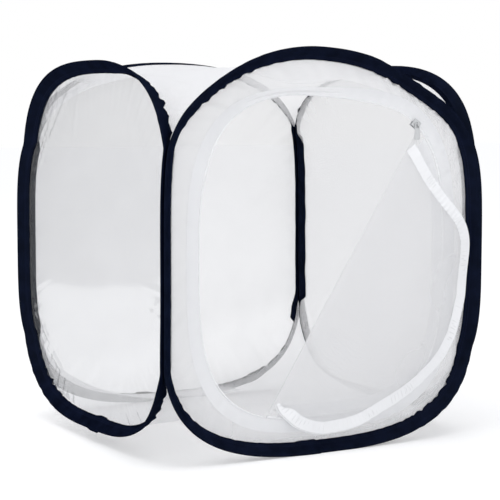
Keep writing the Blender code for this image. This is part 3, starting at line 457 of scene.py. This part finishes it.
# Bunched stretches: wall, place across and level, half length, scallop depth.
BUNCHES = {
    "front": (
        (-0.100, 0.177, 0.040, 0.0032), (-0.135, 0.145, 0.030, 0.0020), (0.085, 0.185, 0.035, 0.0024),
        (0.130, 0.155, 0.040, 0.0024), (0.150, -0.130, 0.045, 0.0022), (0.120, -0.165, 0.030, 0.0018),
        (-0.150, -0.130, 0.035, 0.0012),
    ),
    "left": (
        (0.140, 0.150, 0.040, 0.0030), (0.155, 0.125, 0.030, 0.0026), (0.150, -0.120, 0.035, 0.0016),
        (0.128, -0.148, 0.030, 0.0014), (-0.135, -0.130, 0.035, 0.0020), (-0.110, -0.150, 0.030, 0.0020),
    ),
    "right": ((0.0, 0.194, 0.05, 0.0014), (-0.150, -0.130, 0.05, 0.0020), (0.14, 0.14, 0.04, 0.0016)),
    "back": ((0.120, 0.165, 0.05, 0.0018), (-0.120, 0.165, 0.05, 0.0016), (-0.13, -0.15, 0.05, 0.0018)),
}
# Where the two ends of each tape overlap.
OVERLAPS = {"front": (-0.012, -0.1855), "left": (0.018, -0.170), "right": (-0.06, -0.170), "back": (0.05, -0.185)}


def bunching(name, loop):
    """The scallops' depth at each station."""
    depth = np.full(loop.s.shape, 0.00028)
    for u, v, half, deep in BUNCHES[name]:
        away = np.hypot(loop.u - u, loop.v - v)
        depth = depth + deep * np.exp(-((away / half) ** 2) * 1.4)
    return depth * (1 - 0.75 * loop.seam)


def make_casing(name, seed):
    """A hoop's tape: the fin round the wire, and its edge lapped inside along the seams."""
    loop = LOOPS[name]
    depth = bunching(name, loop)
    scallop = waves(loop.s, (0.0137, 0.0089, 0.0228, 0.0061), seed)
    puff = waves(loop.s, (0.0171, 0.0105, 0.0301), seed + 3)
    swell = depth * 0.5 * waves(loop.s, (0.0193, 0.0117), seed + 5)
    # The tape's overlap, and the spring's sleeve, stand out.
    u0, v0 = OVERLAPS[name]
    start = loop.s[np.argmin(np.hypot(loop.u - u0, loop.v - v0))]
    behind = (start - loop.s) % loop.length
    lap = np.where(behind < 0.022, 1.0, 0.0) * ease((0.022 - behind) / 0.014 + 0.3)
    apart = (loop.s - loop.join + loop.length / 2) % loop.length - loop.length / 2
    sleeve = 0.0013 * np.exp(-((apart / 0.012) ** 4))
    # The tape is drawn wider than the solid, most on two tops.
    wide_in = wide_out = 1.12
    if name in ("front", "left"):
        wide_in = wide_in + 0.20 * ease((loop.v - 0.10) / 0.05)
    if name == "front":
        wide_out = wide_out - 0.24 * ease((loop.v - 0.11) / 0.03) * ease((loop.u - 0.05) / 0.04)
    rows = []
    for along, through in SECTION:
        inwards = np.clip(-along / HALF_FIN, 0, 1)
        inner, outer = inwards**3, np.clip(along / HALF_FIN, 0, 1) ** 3
        a = (wide_out if along > 0 else wide_in) * along + CUT[name] * inwards
        a = a + inner * (depth * scallop - 0.0042 * loop.seam) - outer * 0.25 * depth * (1 + puff)
        a = a + lap * (0.0018 * outer - 0.0016 * inner)
        bulge = 1 + (0.10 + 110 * depth * (1 - loop.seam)) * puff * (0.3 + 0.7 * inner)
        t = through * np.clip(bulge, 0.72, 1.35) * (1 - 0.12 * loop.seam) + np.sign(through) * 0.0008 * lap
        t = t + swell * inner
        t = t + np.sign(through) * sleeve
        rows.append(loop.fin(a, t))
    ends = loop.ends + np.where((name == "back") & (loop.u < 0) & (loop.v < 0), 0.024, 0.0)
    early = np.where(loop.v > 0, 0.013, 0.006) if name == "right" else 0.003
    lap_in = 1 - ease((abs(loop.v) - ends + early) / 0.009)
    widths = np.zeros_like(loop.s)
    for side, width in LAPS[name]:
        widths = np.where(loop.u * side > 0, width, widths)
    if name == "back":
        widths = widths * (1 + 1.5 * ease((-loop.v - loop.ends + 0.014) / 0.024) * (loop.v < 0))
    ragged = 1 + 0.07 * waves(loop.s, (0.051, 0.027, 0.083), seed + 2)
    reach = np.minimum(lap_in, widths / 0.002)
    for share in (0.3, 0.65, 1.0):
        rows.append(loop.at(-0.0055 - share * widths * lap_in * ragged, -0.0058 - 0.0013 * reach))
    grid = np.stack(rows, 1)
    grid[..., 2] = np.maximum(grid[..., 2], 0.0)
    across = run_of(SECTION)
    across = np.concatenate([across, across[-1] + np.array([0.0022, 0.0048, 0.0074])])
    uv = np.stack(np.meshgrid(np.append(loop.s, loop.length), across, indexing="ij"), -1)
    made = grid_mesh(name + "_hoop_tape", grid, uv, CASING, close_u=True)
    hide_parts(name + "_casing")
    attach(made, name + "_wall")


for seed, name in enumerate(LOOPS):
    make_casing(name, seed)


# Wall sheets. They bend 0.8 mm beyond the fin's inner edge.
BEND = -(HALF_FIN + 0.0008) / ROOT2


def ring(loop, share, lift=0.0):
    """A ring of a wall's sheet, from its middle (share 0) to its bend (share 1), and its uv."""
    across = (loop.u + loop.n[:, 0] * BEND) * share
    level = (loop.v + loop.n[:, 1] * BEND) * share
    rim = ease((share - 0.72) / 0.28)
    out = SHEET_PLANE - (loop.lean * rim + loop.soft_lean * (1 - rim)) * share**2 + lift
    shift = (loop.turned(BEND, SHEET_PLANE) - loop.at(BEND, SHEET_PLANE)) * ease((share - 0.90) / 0.10)
    return loop.place(across, level, out) + shift, np.stack([across, level], 1)


def corner_pull(loop):
    """How strongly the cloth is pulled at each station: most where the hoop turns its corners."""
    angle = np.arctan2(abs(loop.v) / 0.19, abs(loop.u) / 0.175)
    return np.exp(-(((angle - math.pi / 4) / 0.42) ** 2))


# Creases: points across and level, height and half width, all in millimetres.
WINDOW_CREASES = (
    (((63, 177), (91, 101), (152, 42)), 0.35, 5.5), (((83, 174), (117, 121), (153, 84)), 0.4, 6.0),
    (((-84, 179), (-149, 117)), 1.8, 4.0), (((-68, 183), (-140, 106)), -1.7, 3.5),
    (((-52, 184), (-129, 107)), 1.2, 4.0), (((-95, 171), (-155, 106)), -1.7, 3.0),
    (((-40, 183), (-54, 118)), 0.5, 4.0), (((-100, 166), (-160, 60)), 1.3, 3.0),
    (((-108, 160), (-162, 88)), -1.4, 2.5), (((-118, 150), (-165, 70)), 1.4, 2.2),
    (((72, -106), (46, -164)), 0.8, 3.0), (((90, -134), (71, -162)), 0.6, 3.0), (((156, -27), (108, -68)), 0.4, 4.0),
    (((147, -82), (108, -127)), 0.8, 4.0), (((-171, -42), (-149, -88)), 1.2, 2.5),
    (((-160, -61), (-92, -132)), 1.2, 3.0), (((-152, -88), (-76, -132)), -1.0, 3.5),
    (((-149, -93), (-60, -149)), 0.9, 3.5), (((-141, -98), (-109, -149)), 1.2, 2.5), (((7, -85), (8, -147)), 0.4, 5.0),
    (((-160, -20), (-120, -120)), 0.7, 3.0),
)
FRONT_CREASES = (
    (((-87, 142), (-125, 102), (-160, 52)), 1.0, 4.0), (((-98, 168), (-125, 130)), 0.8, 4.0),
    (((-90, 166), (-111, 135)), -0.7, 4.0), (((79, 175), (92, 150), (107, 134)), 1.0, 3.5),
    (((104, 165), (111, 134)), 1.1, 3.0), (((-164, -90), (-142, -126), (-98, -159)), 0.8, 4.0),
    (((160, -48), (142, -109), (85, -146)), 0.8, 4.0), (((166, -69), (155, -121), (117, -149)), 1.2, 4.0),
    (((161, -122), (129, -145)), -2.0, 4.0), (((163, -100), (140, -140)), 1.6, 3.5),
    (((150, -135), (105, -160)), 1.4, 3.5), (((126, 99), (140, 57)), 0.9, 4.0), (((150, -120), (132, -150)), 1.2, 3.0),
)


def crease_height(spots, creases):
    """Soft ridges along short lines, which fade out at both ends."""
    total = np.zeros(spots.shape[:-1])
    for points, height, half in creases:
        line = np.array(points, float) / 1000
        best, where = np.full(total.shape, 1e9), np.zeros(total.shape)
        steps = len(line) - 1
        for k in range(steps):
            leg = line[k + 1] - line[k]
            t = np.clip(((spots - line[k]) @ leg) / (leg @ leg), 0, 1)
            away = np.linalg.norm(spots - line[k] - t[..., None] * leg, axis=-1)
            closer = away < best
            best, where = np.where(closer, away, best), np.where(closer, (k + t) / steps, where)
        fade = np.sin(math.pi * np.clip(where, 0.02, 0.98)) ** 0.7
        total += height / 1000 * fade * np.exp(-((best / (half / 1000)) ** 2))
    return total


# How far into its casing a sheet is tucked.
TUCK = 0.004


def plain_sheet(name, node, mat, wrinkle, lengths, seed, creases=()):
    """A wall's sheet, pulled at the hoop's corners."""
    loop = LOOPS[name]
    pull = 0.25 + 0.75 * corner_pull(loop)
    broad = 0.2 if mat is VINYL else 0.9
    rows, uvs = [loop.fin(-HALF_FIN + TUCK + 0.7 * CUT[name], 0.0)], [ring(loop, 1.03)[1]]
    for share in np.concatenate([np.linspace(1, 0.55, 34), np.linspace(0.52, 0.03, 12)]):
        fade = ease((1 - share) / 0.035) * share**9
        lift = wrinkle * pull * fade * waves(loop.s + 0.012 * (1 - share), lengths, seed)
        lift = lift + wrinkle * broad * share**2 * (1 - share) * waves(loop.s, (0.19, 0.31), seed + 7)
        lift = lift + crease_height(ring(loop, share)[1], creases) * ease((1 - share) / 0.03)
        spots, uv = ring(loop, share, lift)
        rows.append(spots)
        uvs.append(uv)
    rows.append(loop.place(np.zeros(1), np.zeros(1), np.full(1, SHEET_PLANE)))
    uvs.append(np.zeros((1, 2)))
    made = fan_mesh(node + "_cloth", rows, uvs, mat)
    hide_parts(node)
    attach(made, name + "_wall")


window_lengths = (0.0151, 0.0093, 0.0267)
plain_sheet("left", "left_window", VINYL, 0.0015, window_lengths, 1, WINDOW_CREASES)
plain_sheet("right", "right_mesh", MESH, 0.0010, (0.0243, 0.0157, 0.041), 2)
plain_sheet("back", "back_mesh", BACK_MESH, 0.0010, (0.0263, 0.0143, 0.037), 3)


# The front wall and its door. A spot there is a place across and a level.

def door_edge(angle, grow):
    """The door's outline at an angle about its middle, or a line beside it."""
    angle, grow = np.broadcast_arrays(np.asarray(angle, float), np.asarray(grow, float))
    c, s = np.cos(angle), np.sin(angle)
    r = (abs(c / (DOOR["a"] + grow)) ** DOOR["n"] + abs(s / (DOOR["b"] + grow)) ** DOOR["n"]) ** (-1 / DOOR["n"])
    return np.stack([r * c, DOOR["up"] + r * s], -1)


def on_front(spots, out):
    return FRONT_LOOP.place(spots[..., 0], spots[..., 1], SHEET_PLANE + out)


def droop(angle):
    """How far the top of the frame's zip leans into the cage, as an angle."""
    away = (angle - math.radians(101)) % (2 * math.pi)
    away = np.minimum(away, 2 * math.pi - away)
    return math.radians(58) * (1 - ease(away / math.radians(50)))


def front_sheet():
    loop = FRONT_LOOP
    pull = 0.2 + 0.8 * corner_pull(loop)
    rows, uvs = [loop.fin(-HALF_FIN + TUCK, 0.0)], [ring(loop, 1.03)[1]]
    outer = ring(loop, 1.0)[1]
    angle = np.arctan2(outer[:, 1] - DOOR["up"], outer[:, 0])
    inner = door_edge(angle, 0.009)
    for share in np.linspace(0, 1, 22):
        spot = outer * (1 - share) + inner * share
        fold = waves(loop.s + 0.02 * share, (0.0311, 0.0187, 0.052), 4)
        lift = 0.0016 * pull * fold * ease(share / 0.2) * ease((1.02 - share) / 0.25)
        lift = lift - loop.lean * (1 - share) ** 2 - 0.004 * np.sin(droop(angle)) * share**2
        lift = lift + crease_height(spot, FRONT_CREASES) * ease(share / 0.15)
        rows.append(on_front(spot, lift))
        uvs.append(spot)
    uv = np.stack(uvs, 1)
    uv = np.concatenate([uv, uv[:1]])
    made = grid_mesh("front_mesh_cloth", np.stack(rows, 1), uv, MESH, close_u=True)
    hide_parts("front_mesh")
    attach(made, "front_wall")


front_sheet()


# The zip: the distances of the tapes' two edges, and of the open coils, from the door's outline.
FRAME_TAPE = (0.0016, 0.0140)
DOOR_TAPE = (0.0016, 0.0130)
OPEN_COIL = 0.0008
COIL_PITCH, COIL_HIGH = 0.0024, 0.0009


def arc_run(start, stop, step):
    """Angles along the door's outline, evenly spaced, and their distances."""
    fine = np.linspace(start, stop, 2400)
    run = run_of(door_edge(fine, 0))
    s = np.linspace(0, run[-1], max(int(run[-1] / step), 8))
    return np.interp(s, run, fine), s


def tape_band(name, angles, s, edges, base, seed, sign=1):
    """A zip tape in the front wall. The frame's (sign 1) leans where the frame droops."""
    rows, uvs = [], []
    lean = droop(angles) if sign > 0 else np.zeros_like(angles)
    for share in np.linspace(0, 1, 9):
        width = edges[0] + (edges[1] - edges[0]) * share
        inward = (edges[1] - width) if sign > 0 else 0
        spot = door_edge(angles, sign * (width + inward * (1 - np.cos(lean))))
        wave = 0.0005 * waves(s, (0.0167, 0.0105, 0.034), seed) * (0.4 + 0.6 * share)
        out = base + 0.0002 * np.sin(share * math.pi) + wave - inward * np.sin(lean)
        rows.append(on_front(spot, out))
        uvs.append(np.stack([s, np.full_like(s, width)], 1))
    return grid_mesh(name, np.stack(rows, 1), np.stack(uvs, 1), TAPE)


def across_line(line):
    """The direction across a line at each of its points."""
    tangent = np.gradient(line, axis=0)
    tangent /= np.linalg.norm(tangent, axis=1)[:, None]
    return np.stack([tangent[:, 1], -tangent[:, 0]], 1)


def coil_tube(name, spots, out, half, s):
    """A zip coil: a flat tube whose turns stand out as ribs."""
    turns = 0.5 + 0.5 * np.cos(2 * np.pi * s / COIL_PITCH)
    side = across_line(spots)
    rows, uvs = [], []
    for k in range(8):
        angle = 2 * math.pi * k / 8
        wide = half * math.cos(angle) * (0.82 + 0.18 * turns)
        up = COIL_HIGH * math.sin(angle) * (0.72 + 0.28 * turns)
        rows.append(on_front(spots + side * wide[:, None], out + up))
        uvs.append(np.stack([s, np.full_like(s, k * 0.0005)], 1))
    uvs.append(np.stack([s, np.full_like(s, 0.004)], 1))
    return grid_mesh(name, np.stack(rows, 1), np.stack(uvs, 1), COIL, close_v=True)


# Angles of the fold's two ends and of the slider.
FOOT, HEAD, SLIDER = math.radians(-114.6), math.radians(49.3), math.radians(51.5)
loop_angles, loop_s = arc_run(HEAD, HEAD + 2 * math.pi, 0.002)
frame_tape = tape_band("zip_frame_tape_cloth", loop_angles, loop_s, FRAME_TAPE, 0.0014, 2)
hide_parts("zip_frame_tape")
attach(frame_tape, "front_wall")

open_angles, open_s = arc_run(SLIDER, FOOT + 2 * math.pi - 0.03, 0.0006)
lean = droop(open_angles)
inward = FRAME_TAPE[1] - OPEN_COIL
open_spots = door_edge(open_angles, OPEN_COIL + inward * (1 - np.cos(lean)))
frame_coil = coil_tube("zip_frame_coil_turns", open_spots, 0.0017 - inward * np.sin(lean), 0.0008, open_s)
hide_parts("zip_frame_coil")
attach(frame_coil, "front_wall")

shut_angles, shut_s = arc_run(FOOT, SLIDER - 0.02, 0.0006)
shut_coil = coil_tube("zip_closed_coil_turns", door_edge(shut_angles, 0.0), 0.0017, 0.0016, shut_s)
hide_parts("zip_closed_coil")
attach(shut_coil, "front_wall")

tape_angles, tape_s = arc_run(FOOT + 0.07, HEAD - 0.07, 0.002)
door_tape = tape_band("zip_door_tape_cloth", tape_angles, tape_s, DOOR_TAPE, 0.0013, 5, sign=-1)
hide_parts("zip_door_tape")
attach(door_tape, "front_wall")


# The lower part of the door, from the fold to the outline.
FOLD_HEAD = door_edge(HEAD, 0.0)
FOLD_FOOT = door_edge(FOOT, 0.0)
FOLD_LENGTH = float(np.linalg.norm(FOLD_FOOT - FOLD_HEAD))
ALONG = (FOLD_FOOT - FOLD_HEAD) / FOLD_LENGTH
HANG = np.array([-ALONG[1], ALONG[0]])
if HANG[0] < 0:
    HANG = -HANG

edge = door_edge(np.linspace(HEAD - 0.05, FOOT + 0.05, 120), -0.006)
ends = (edge[[0, -1]] - FOLD_HEAD) @ ALONG
reach = np.linspace(*ends, len(edge))
root = FOLD_HEAD + reach[:, None] * ALONG
shares = np.linspace(0, 1, 14)
flat_uv = np.stack([root * (1 - share) + edge * share for share in shares], 1)
depth = 0.0006 * waves(reach, (0.071, 0.043), 2)[:, None] * np.sin(math.pi * shares)
lower = grid_mesh("door_lower_mesh_cloth", on_front(flat_uv, depth), flat_uv, MESH)
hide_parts("door_lower_mesh")
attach(lower, "front_wall")


# The hanging flap. Its free edge: across and level in the front wall.
FLAP_EDGE = np.array([
    (104, 116), (108, 110), (120, 90), (140, 63), (158, 40), (167, 19), (170, -5), (169, -40), (161, -63),
    (149, -90), (132, -116), (102, -139), (62, -155), (32, -166), (5, -170), (-17, -170), (-40, -162), (-57, -147),
    (-62, -137),
]) / 1000
FLAP_STATIONS = 300
FLAP_DEEP = 0.152
# The cloth's distance from the wall before it stands off, and the tape's beyond the cloth's.
FLAP_OUT, TAPE_OUT = 0.0048, 0.0009


def spline(points, count):
    """A smooth line through points, evenly spaced, and its distances."""
    p = np.vstack([2 * points[0] - points[1], points, 2 * points[-1] - points[-2]])
    line = []
    for k in range(1, len(p) - 2):
        t = np.linspace(0, 1, 40, endpoint=False)[:, None]
        a, b, c, d = p[k - 1], p[k], p[k + 1], p[k + 2]
        line.append(0.5 * (2 * b + (c - a) * t + (2 * a - 5 * b + 4 * c - d) * t**2 + (3 * b - a - 3 * c + d) * t**3))
    line = np.vstack(line + [points[-1:]])
    run = run_of(line)
    s = np.linspace(0, run[-1], count)
    return resample(line, run, s), s


def inset(line, width):
    return line + across_line(line) * (width[:, None] if np.ndim(width) else width)


free, free_s = spline(FLAP_EDGE, FLAP_STATIONS)
middle = FLAP_STATIONS // 2
side_in = 1 if ((inset(free, 0.01)[middle] - free[middle]) @ HANG) < 0 else -1


def flap_rise(spots):
    """How far the hanging cloth stands off the wall."""
    rel = spots - FOLD_HEAD
    x, y = rel @ ALONG / FOLD_LENGTH, rel @ HANG / FLAP_DEEP
    stand = 0.0018 * ease(y / 0.1)
    bulge = 0.011 * np.sin(math.pi * np.clip(y, 0, 1)) ** 2 * np.sin(math.pi * np.clip(x, 0, 1))
    ripple = 0.0022 * y * (1 - np.cos(6 * math.pi * x))
    soft = 0.0016 * np.sin(2 * math.pi * (2.3 * x + 1.1 * y) + 1.0) * ease(y / 0.5)
    toe = 0.004 * ease((x - 0.80) / 0.15) * ease(y / 0.25)
    return stand + bulge + ripple + soft + toe


edge_in = inset(free, side_in * 0.0100)
first, last = 0.055 * FOLD_LENGTH, 0.985 * FOLD_LENGTH
t = np.linspace(0, 1, FLAP_STATIONS)
roots = FOLD_HEAD + (first + (last - first) * t)[:, None] * ALONG
grid, uvs = [], []
# The rolled fold: how far along the hang and out from the wall.
for d, out in ((0.0, 0.0009), (-0.0011, 0.0015), (-0.0014, 0.0026), (-0.0004, 0.0038), (0.0014, 0.0045)):
    spots = roots + HANG * d
    grid.append(on_front(spots, np.full(FLAP_STATIONS, out)))
    uvs.append(spots + HANG * (out - 0.0045))
fold_end = HANG * 0.0014
for share in np.linspace(0.03, 1, 30):
    spots = roots + fold_end + (edge_in - roots - fold_end) * share
    grid.append(on_front(spots, FLAP_OUT + flap_rise(spots)))
    uvs.append(spots)
flap = grid_mesh("door_flap_cloth", np.stack(grid, 1), np.stack(uvs, 1), FLAP_MESH)
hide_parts("door_flap_mesh")
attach(flap, "door_flap")

place = free_s / free_s[-1]
pucker = np.exp(-((place - 0.17) / 0.09) ** 2) + 0.45 * np.exp(-((place - 0.80) / 0.08) ** 2)
# The tape narrows where it turns under the fold at the lower left.
narrow = 0.30 + 0.70 * ease((free_s[-1] - free_s) / 0.020)
grid, uvs = [], []
for share in np.linspace(0, 1, 9):
    width = 0.0016 + 0.0118 * share * narrow
    spots = inset(free, side_in * width)
    fine = 0.0007 * pucker * np.sin(2 * math.pi * free_s / 0.0052) * (0.35 + share)
    fine = fine + 0.0004 * waves(free_s, (0.0213, 0.0131, 0.045), 3)
    grid.append(on_front(spots, FLAP_OUT + TAPE_OUT + flap_rise(spots) + fine))
    uvs.append(np.stack([free_s, width], 1))
flap_tape = grid_mesh("door_flap_tape_cloth", np.stack(grid, 1), np.stack(uvs, 1), FLAP_TAPE)
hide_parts("door_flap_tape")
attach(flap_tape, "door_flap")

free_fine, free_fine_s = spline(FLAP_EDGE, 1100)
coil_line = inset(free_fine, side_in * OPEN_COIL)
flap_coil = coil_tube("door_flap_coil_turns", coil_line, 0.0042 + flap_rise(free_fine), 0.0009, free_fine_s)
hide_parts("door_flap_coil")
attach(flap_coil, "door_flap")


# Covers, saddles between the four casings' inner edges.

def cover_edge(name, upward, count):
    loop = LOOPS[name]
    part = ((loop.v > 0) == upward) & (abs(loop.v) >= loop.ends - 0.001)
    order = np.argsort(loop.u[part])
    spots = loop.turned(-HALF_FIN / ROOT2 - 0.0008, SHEET_PLANE - 0.0006)[part][order]
    run = run_of(spots)
    return resample(spots, run, np.linspace(0, run[-1], count))


def cover_corner(one, other):
    """A corner between two edges' ends, drawn in a little."""
    middle = (one + other) / 2
    return middle - np.array([math.copysign(0.0008, middle[0]), math.copysign(0.0008, middle[1]), 0])


def make_cover(name, node, upward, seed, mat):
    count = 49
    front, right, back, left = (cover_edge(wall, upward, count) for wall in ("front", "right", "back", "left"))
    back, left = back[::-1], left[::-1]
    front[0] = left[0] = cover_corner(front[0], left[0])
    front[-1] = right[0] = cover_corner(front[-1], right[0])
    back[0] = left[-1] = cover_corner(back[0], left[-1])
    back[-1] = right[-1] = cover_corner(back[-1], right[-1])
    w = np.linspace(0, 1, count)
    u, v = w[None, :, None], w[:, None, None]
    spot = front[None] * (1 - v) + back[None] * v + left[:, None] * (1 - u) + right[:, None] * u
    spot = spot - (front[0] * (1 - u) + front[-1] * u) * (1 - v) - (back[0] * (1 - u) + back[-1] * u) * v
    # The height inside follows the four edges, each the more the nearer it is.
    near = [(abs(spot[..., 1] - edge[None, :, 1]), edge[None, :, 2]) for edge in (front, back)]
    near += [(abs(spot[..., 0] - edge[:, None, 0]), edge[:, None, 2]) for edge in (left, right)]
    weights = [1 / np.maximum(away, 1e-5) ** 2 for away, _ in near]
    high = sum(weight * level for weight, (_, level) in zip(weights, near)) / sum(weights)
    spot[1:-1, 1:-1, 2] = high[1:-1, 1:-1]
    uu, vv = np.meshgrid(w, w)
    rim = np.minimum.reduce([uu, 1 - uu, vv, 1 - vv])
    folds = 0.0011 * waves(spot[..., 0] + 0.35 * spot[..., 1], (0.083, 0.051, 0.034), seed) * ease(rim / 0.12)
    spot[..., 2] += folds
    uv = spot[..., :2].copy()
    made = grid_mesh(name, spot, uv, mat)
    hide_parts(node)
    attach(made, "front_wall")
    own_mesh(made)


make_cover("top_cover_cloth", "top_cover", True, 1, CLOTH)
make_cover("floor_cover_cloth", "floor_cover", False, 4, FLOOR_CLOTH)


# Solids carried over from the part.

plain = [("zip_slider", ENAMEL), ("zip_pull", ENAMEL)]
plain += [(wall + end, STEEL) for wall in LOOPS for end in ("_spring", "_spring_sleeve")]
for node, mat in plain:
    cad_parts[node].data.materials.clear()
    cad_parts[node].data.materials.append(mat)


# Stage.

def posed(x, y, z, place):
    """A matrix from three axes and a place."""
    return Matrix([[x[k], y[k], z[k], place[k]] for k in range(3)] + [[0, 0, 0, 1]])


def stage_plane(name, half, mat):
    mesh = bpy.data.meshes.new(name)
    mesh.from_pydata([(-half, -half, 0), (half, -half, 0), (half, half, 0), (-half, half, 0)], [], [(0, 1, 2, 3)])
    mesh.materials.append(mat)
    made = linked(name, mesh)
    return made


# The floor is lifted for camera and glossy rays only, more so far off, and further in a band beside the cage: painted
# light that takes out part of the cage's shadow there.
n = Nodes("pale_floor")
rays = n.add("LightPath").outputs
spot = n.add("TexCoord").outputs["Object"]
far = n.add("VectorMath", operation="LENGTH", i0=spot).outputs["Value"]
flat = n.add("SeparateXYZ", i0=spot).outputs
aside = n.plus(n.times(flat[0], -0.6), n.times(flat[1], 0.8))
# Painted light: this band of floor beside the cage is lifted to take out part of the cage's shadow.
painted_light_band = n.times(n.ramp(aside, 0.09, 0.20, 0.0, 0.12), n.ramp(aside, 0.30, 0.42, 1.0, 0.0))
strength = n.plus(n.ramp(far, 0.5, 2.0, 0.205, 0.35), painted_light_band)
lift = n.get("Emission", Strength=n.times(n.most(rays["Is Camera Ray"], rays["Is Glossy Ray"]), strength))
lit = n.get("BsdfDiffuse", Color=(0.86, 0.86, 0.865, 1))
stage_plane("floor", 14.0, n.end(n.get("AddShader", i0=lit, i1=lift)))

n = Nodes("studio", "World")
rays = n.add("LightPath").outputs
seen = n.most(rays["Is Camera Ray"], n.most(rays["Is Glossy Ray"], rays["Is Transmission Ray"]))
soft = n.get("Background", Color=(0.97, 0.98, 1.0, 1), Strength=0.76)
white = n.get("Background", Color=(1, 1, 1, 1), Strength=1.0)
bpy.context.scene.world = n.end(n.mix(seen, soft, white))


def area_light(name, place, size, watts):
    """A softbox aimed at the cage's middle."""
    data = bpy.data.lights.new(name, "AREA")
    data.shape = "RECTANGLE"
    data.size, data.size_y = size
    data.energy = watts
    away = np.array(place, float) - (0, 0, 0.2)
    away /= np.linalg.norm(away)
    side = np.cross((0, 0, 1), away)
    side /= np.linalg.norm(side)
    lamp = linked(name, data)
    lamp.matrix_world = posed(side, np.cross(away, side), away, place)
    lamp.visible_camera = False


area_light("overhead_softbox", (-0.3, -0.3, 2.3), (2.2, 1.8), 18.0)
area_light("left_softbox", (-2.4, -1.0, 1.2), (1.4, 1.6), 8.0)
area_light("front_softbox", (-0.6, -2.6, 1.0), (1.6, 1.2), 9.0)

# A grey card far behind, which only reflections see.
n = Nodes("grey_card")
card = n.end(n.get("Emission", Color=(0.30, 0.30, 0.31, 1), Strength=1.0))
away, side = np.array([-0.503, 0.864, 0.0]), (0.864, 0.503, 0.0)
screen = stage_plane("far_card", 1.6, card)
screen.matrix_world = posed(side, (0, 0, 1), -away, (-0.18, 0.0, 1.602) + away * 1.30)
screen.visible_camera = screen.visible_diffuse = screen.visible_transmission = screen.visible_shadow = False

# The camera, as fitted to the photograph.
YAW, PITCH, ROLL = math.radians(30.285), math.radians(-4.859), math.radians(0.009)
FOCAL_PIXELS, PICTURE_PIXELS, SENSOR = 1581.6, 500, 36
forward = np.array([math.sin(YAW) * math.cos(PITCH), math.cos(YAW) * math.cos(PITCH), math.sin(PITCH)])
level = np.array([math.cos(YAW), -math.sin(YAW), 0.0])
upright = np.cross(level, forward)
data = bpy.data.cameras.new("camera")
data.sensor_width = SENSOR
data.sensor_fit = "HORIZONTAL"
data.lens = FOCAL_PIXELS / PICTURE_PIXELS * SENSOR
data.clip_start = 0.05
data.clip_end = 60
camera = linked("camera", data)
camera.matrix_world = posed(
    math.cos(ROLL) * level + math.sin(ROLL) * upright,
    math.cos(ROLL) * upright - math.sin(ROLL) * level,
    -forward,
    (-0.85093, -1.47444, 0.14397 + WIDEST),
)
bpy.context.scene.camera = camera
bpy.context.scene.view_settings.view_transform = "Standard"
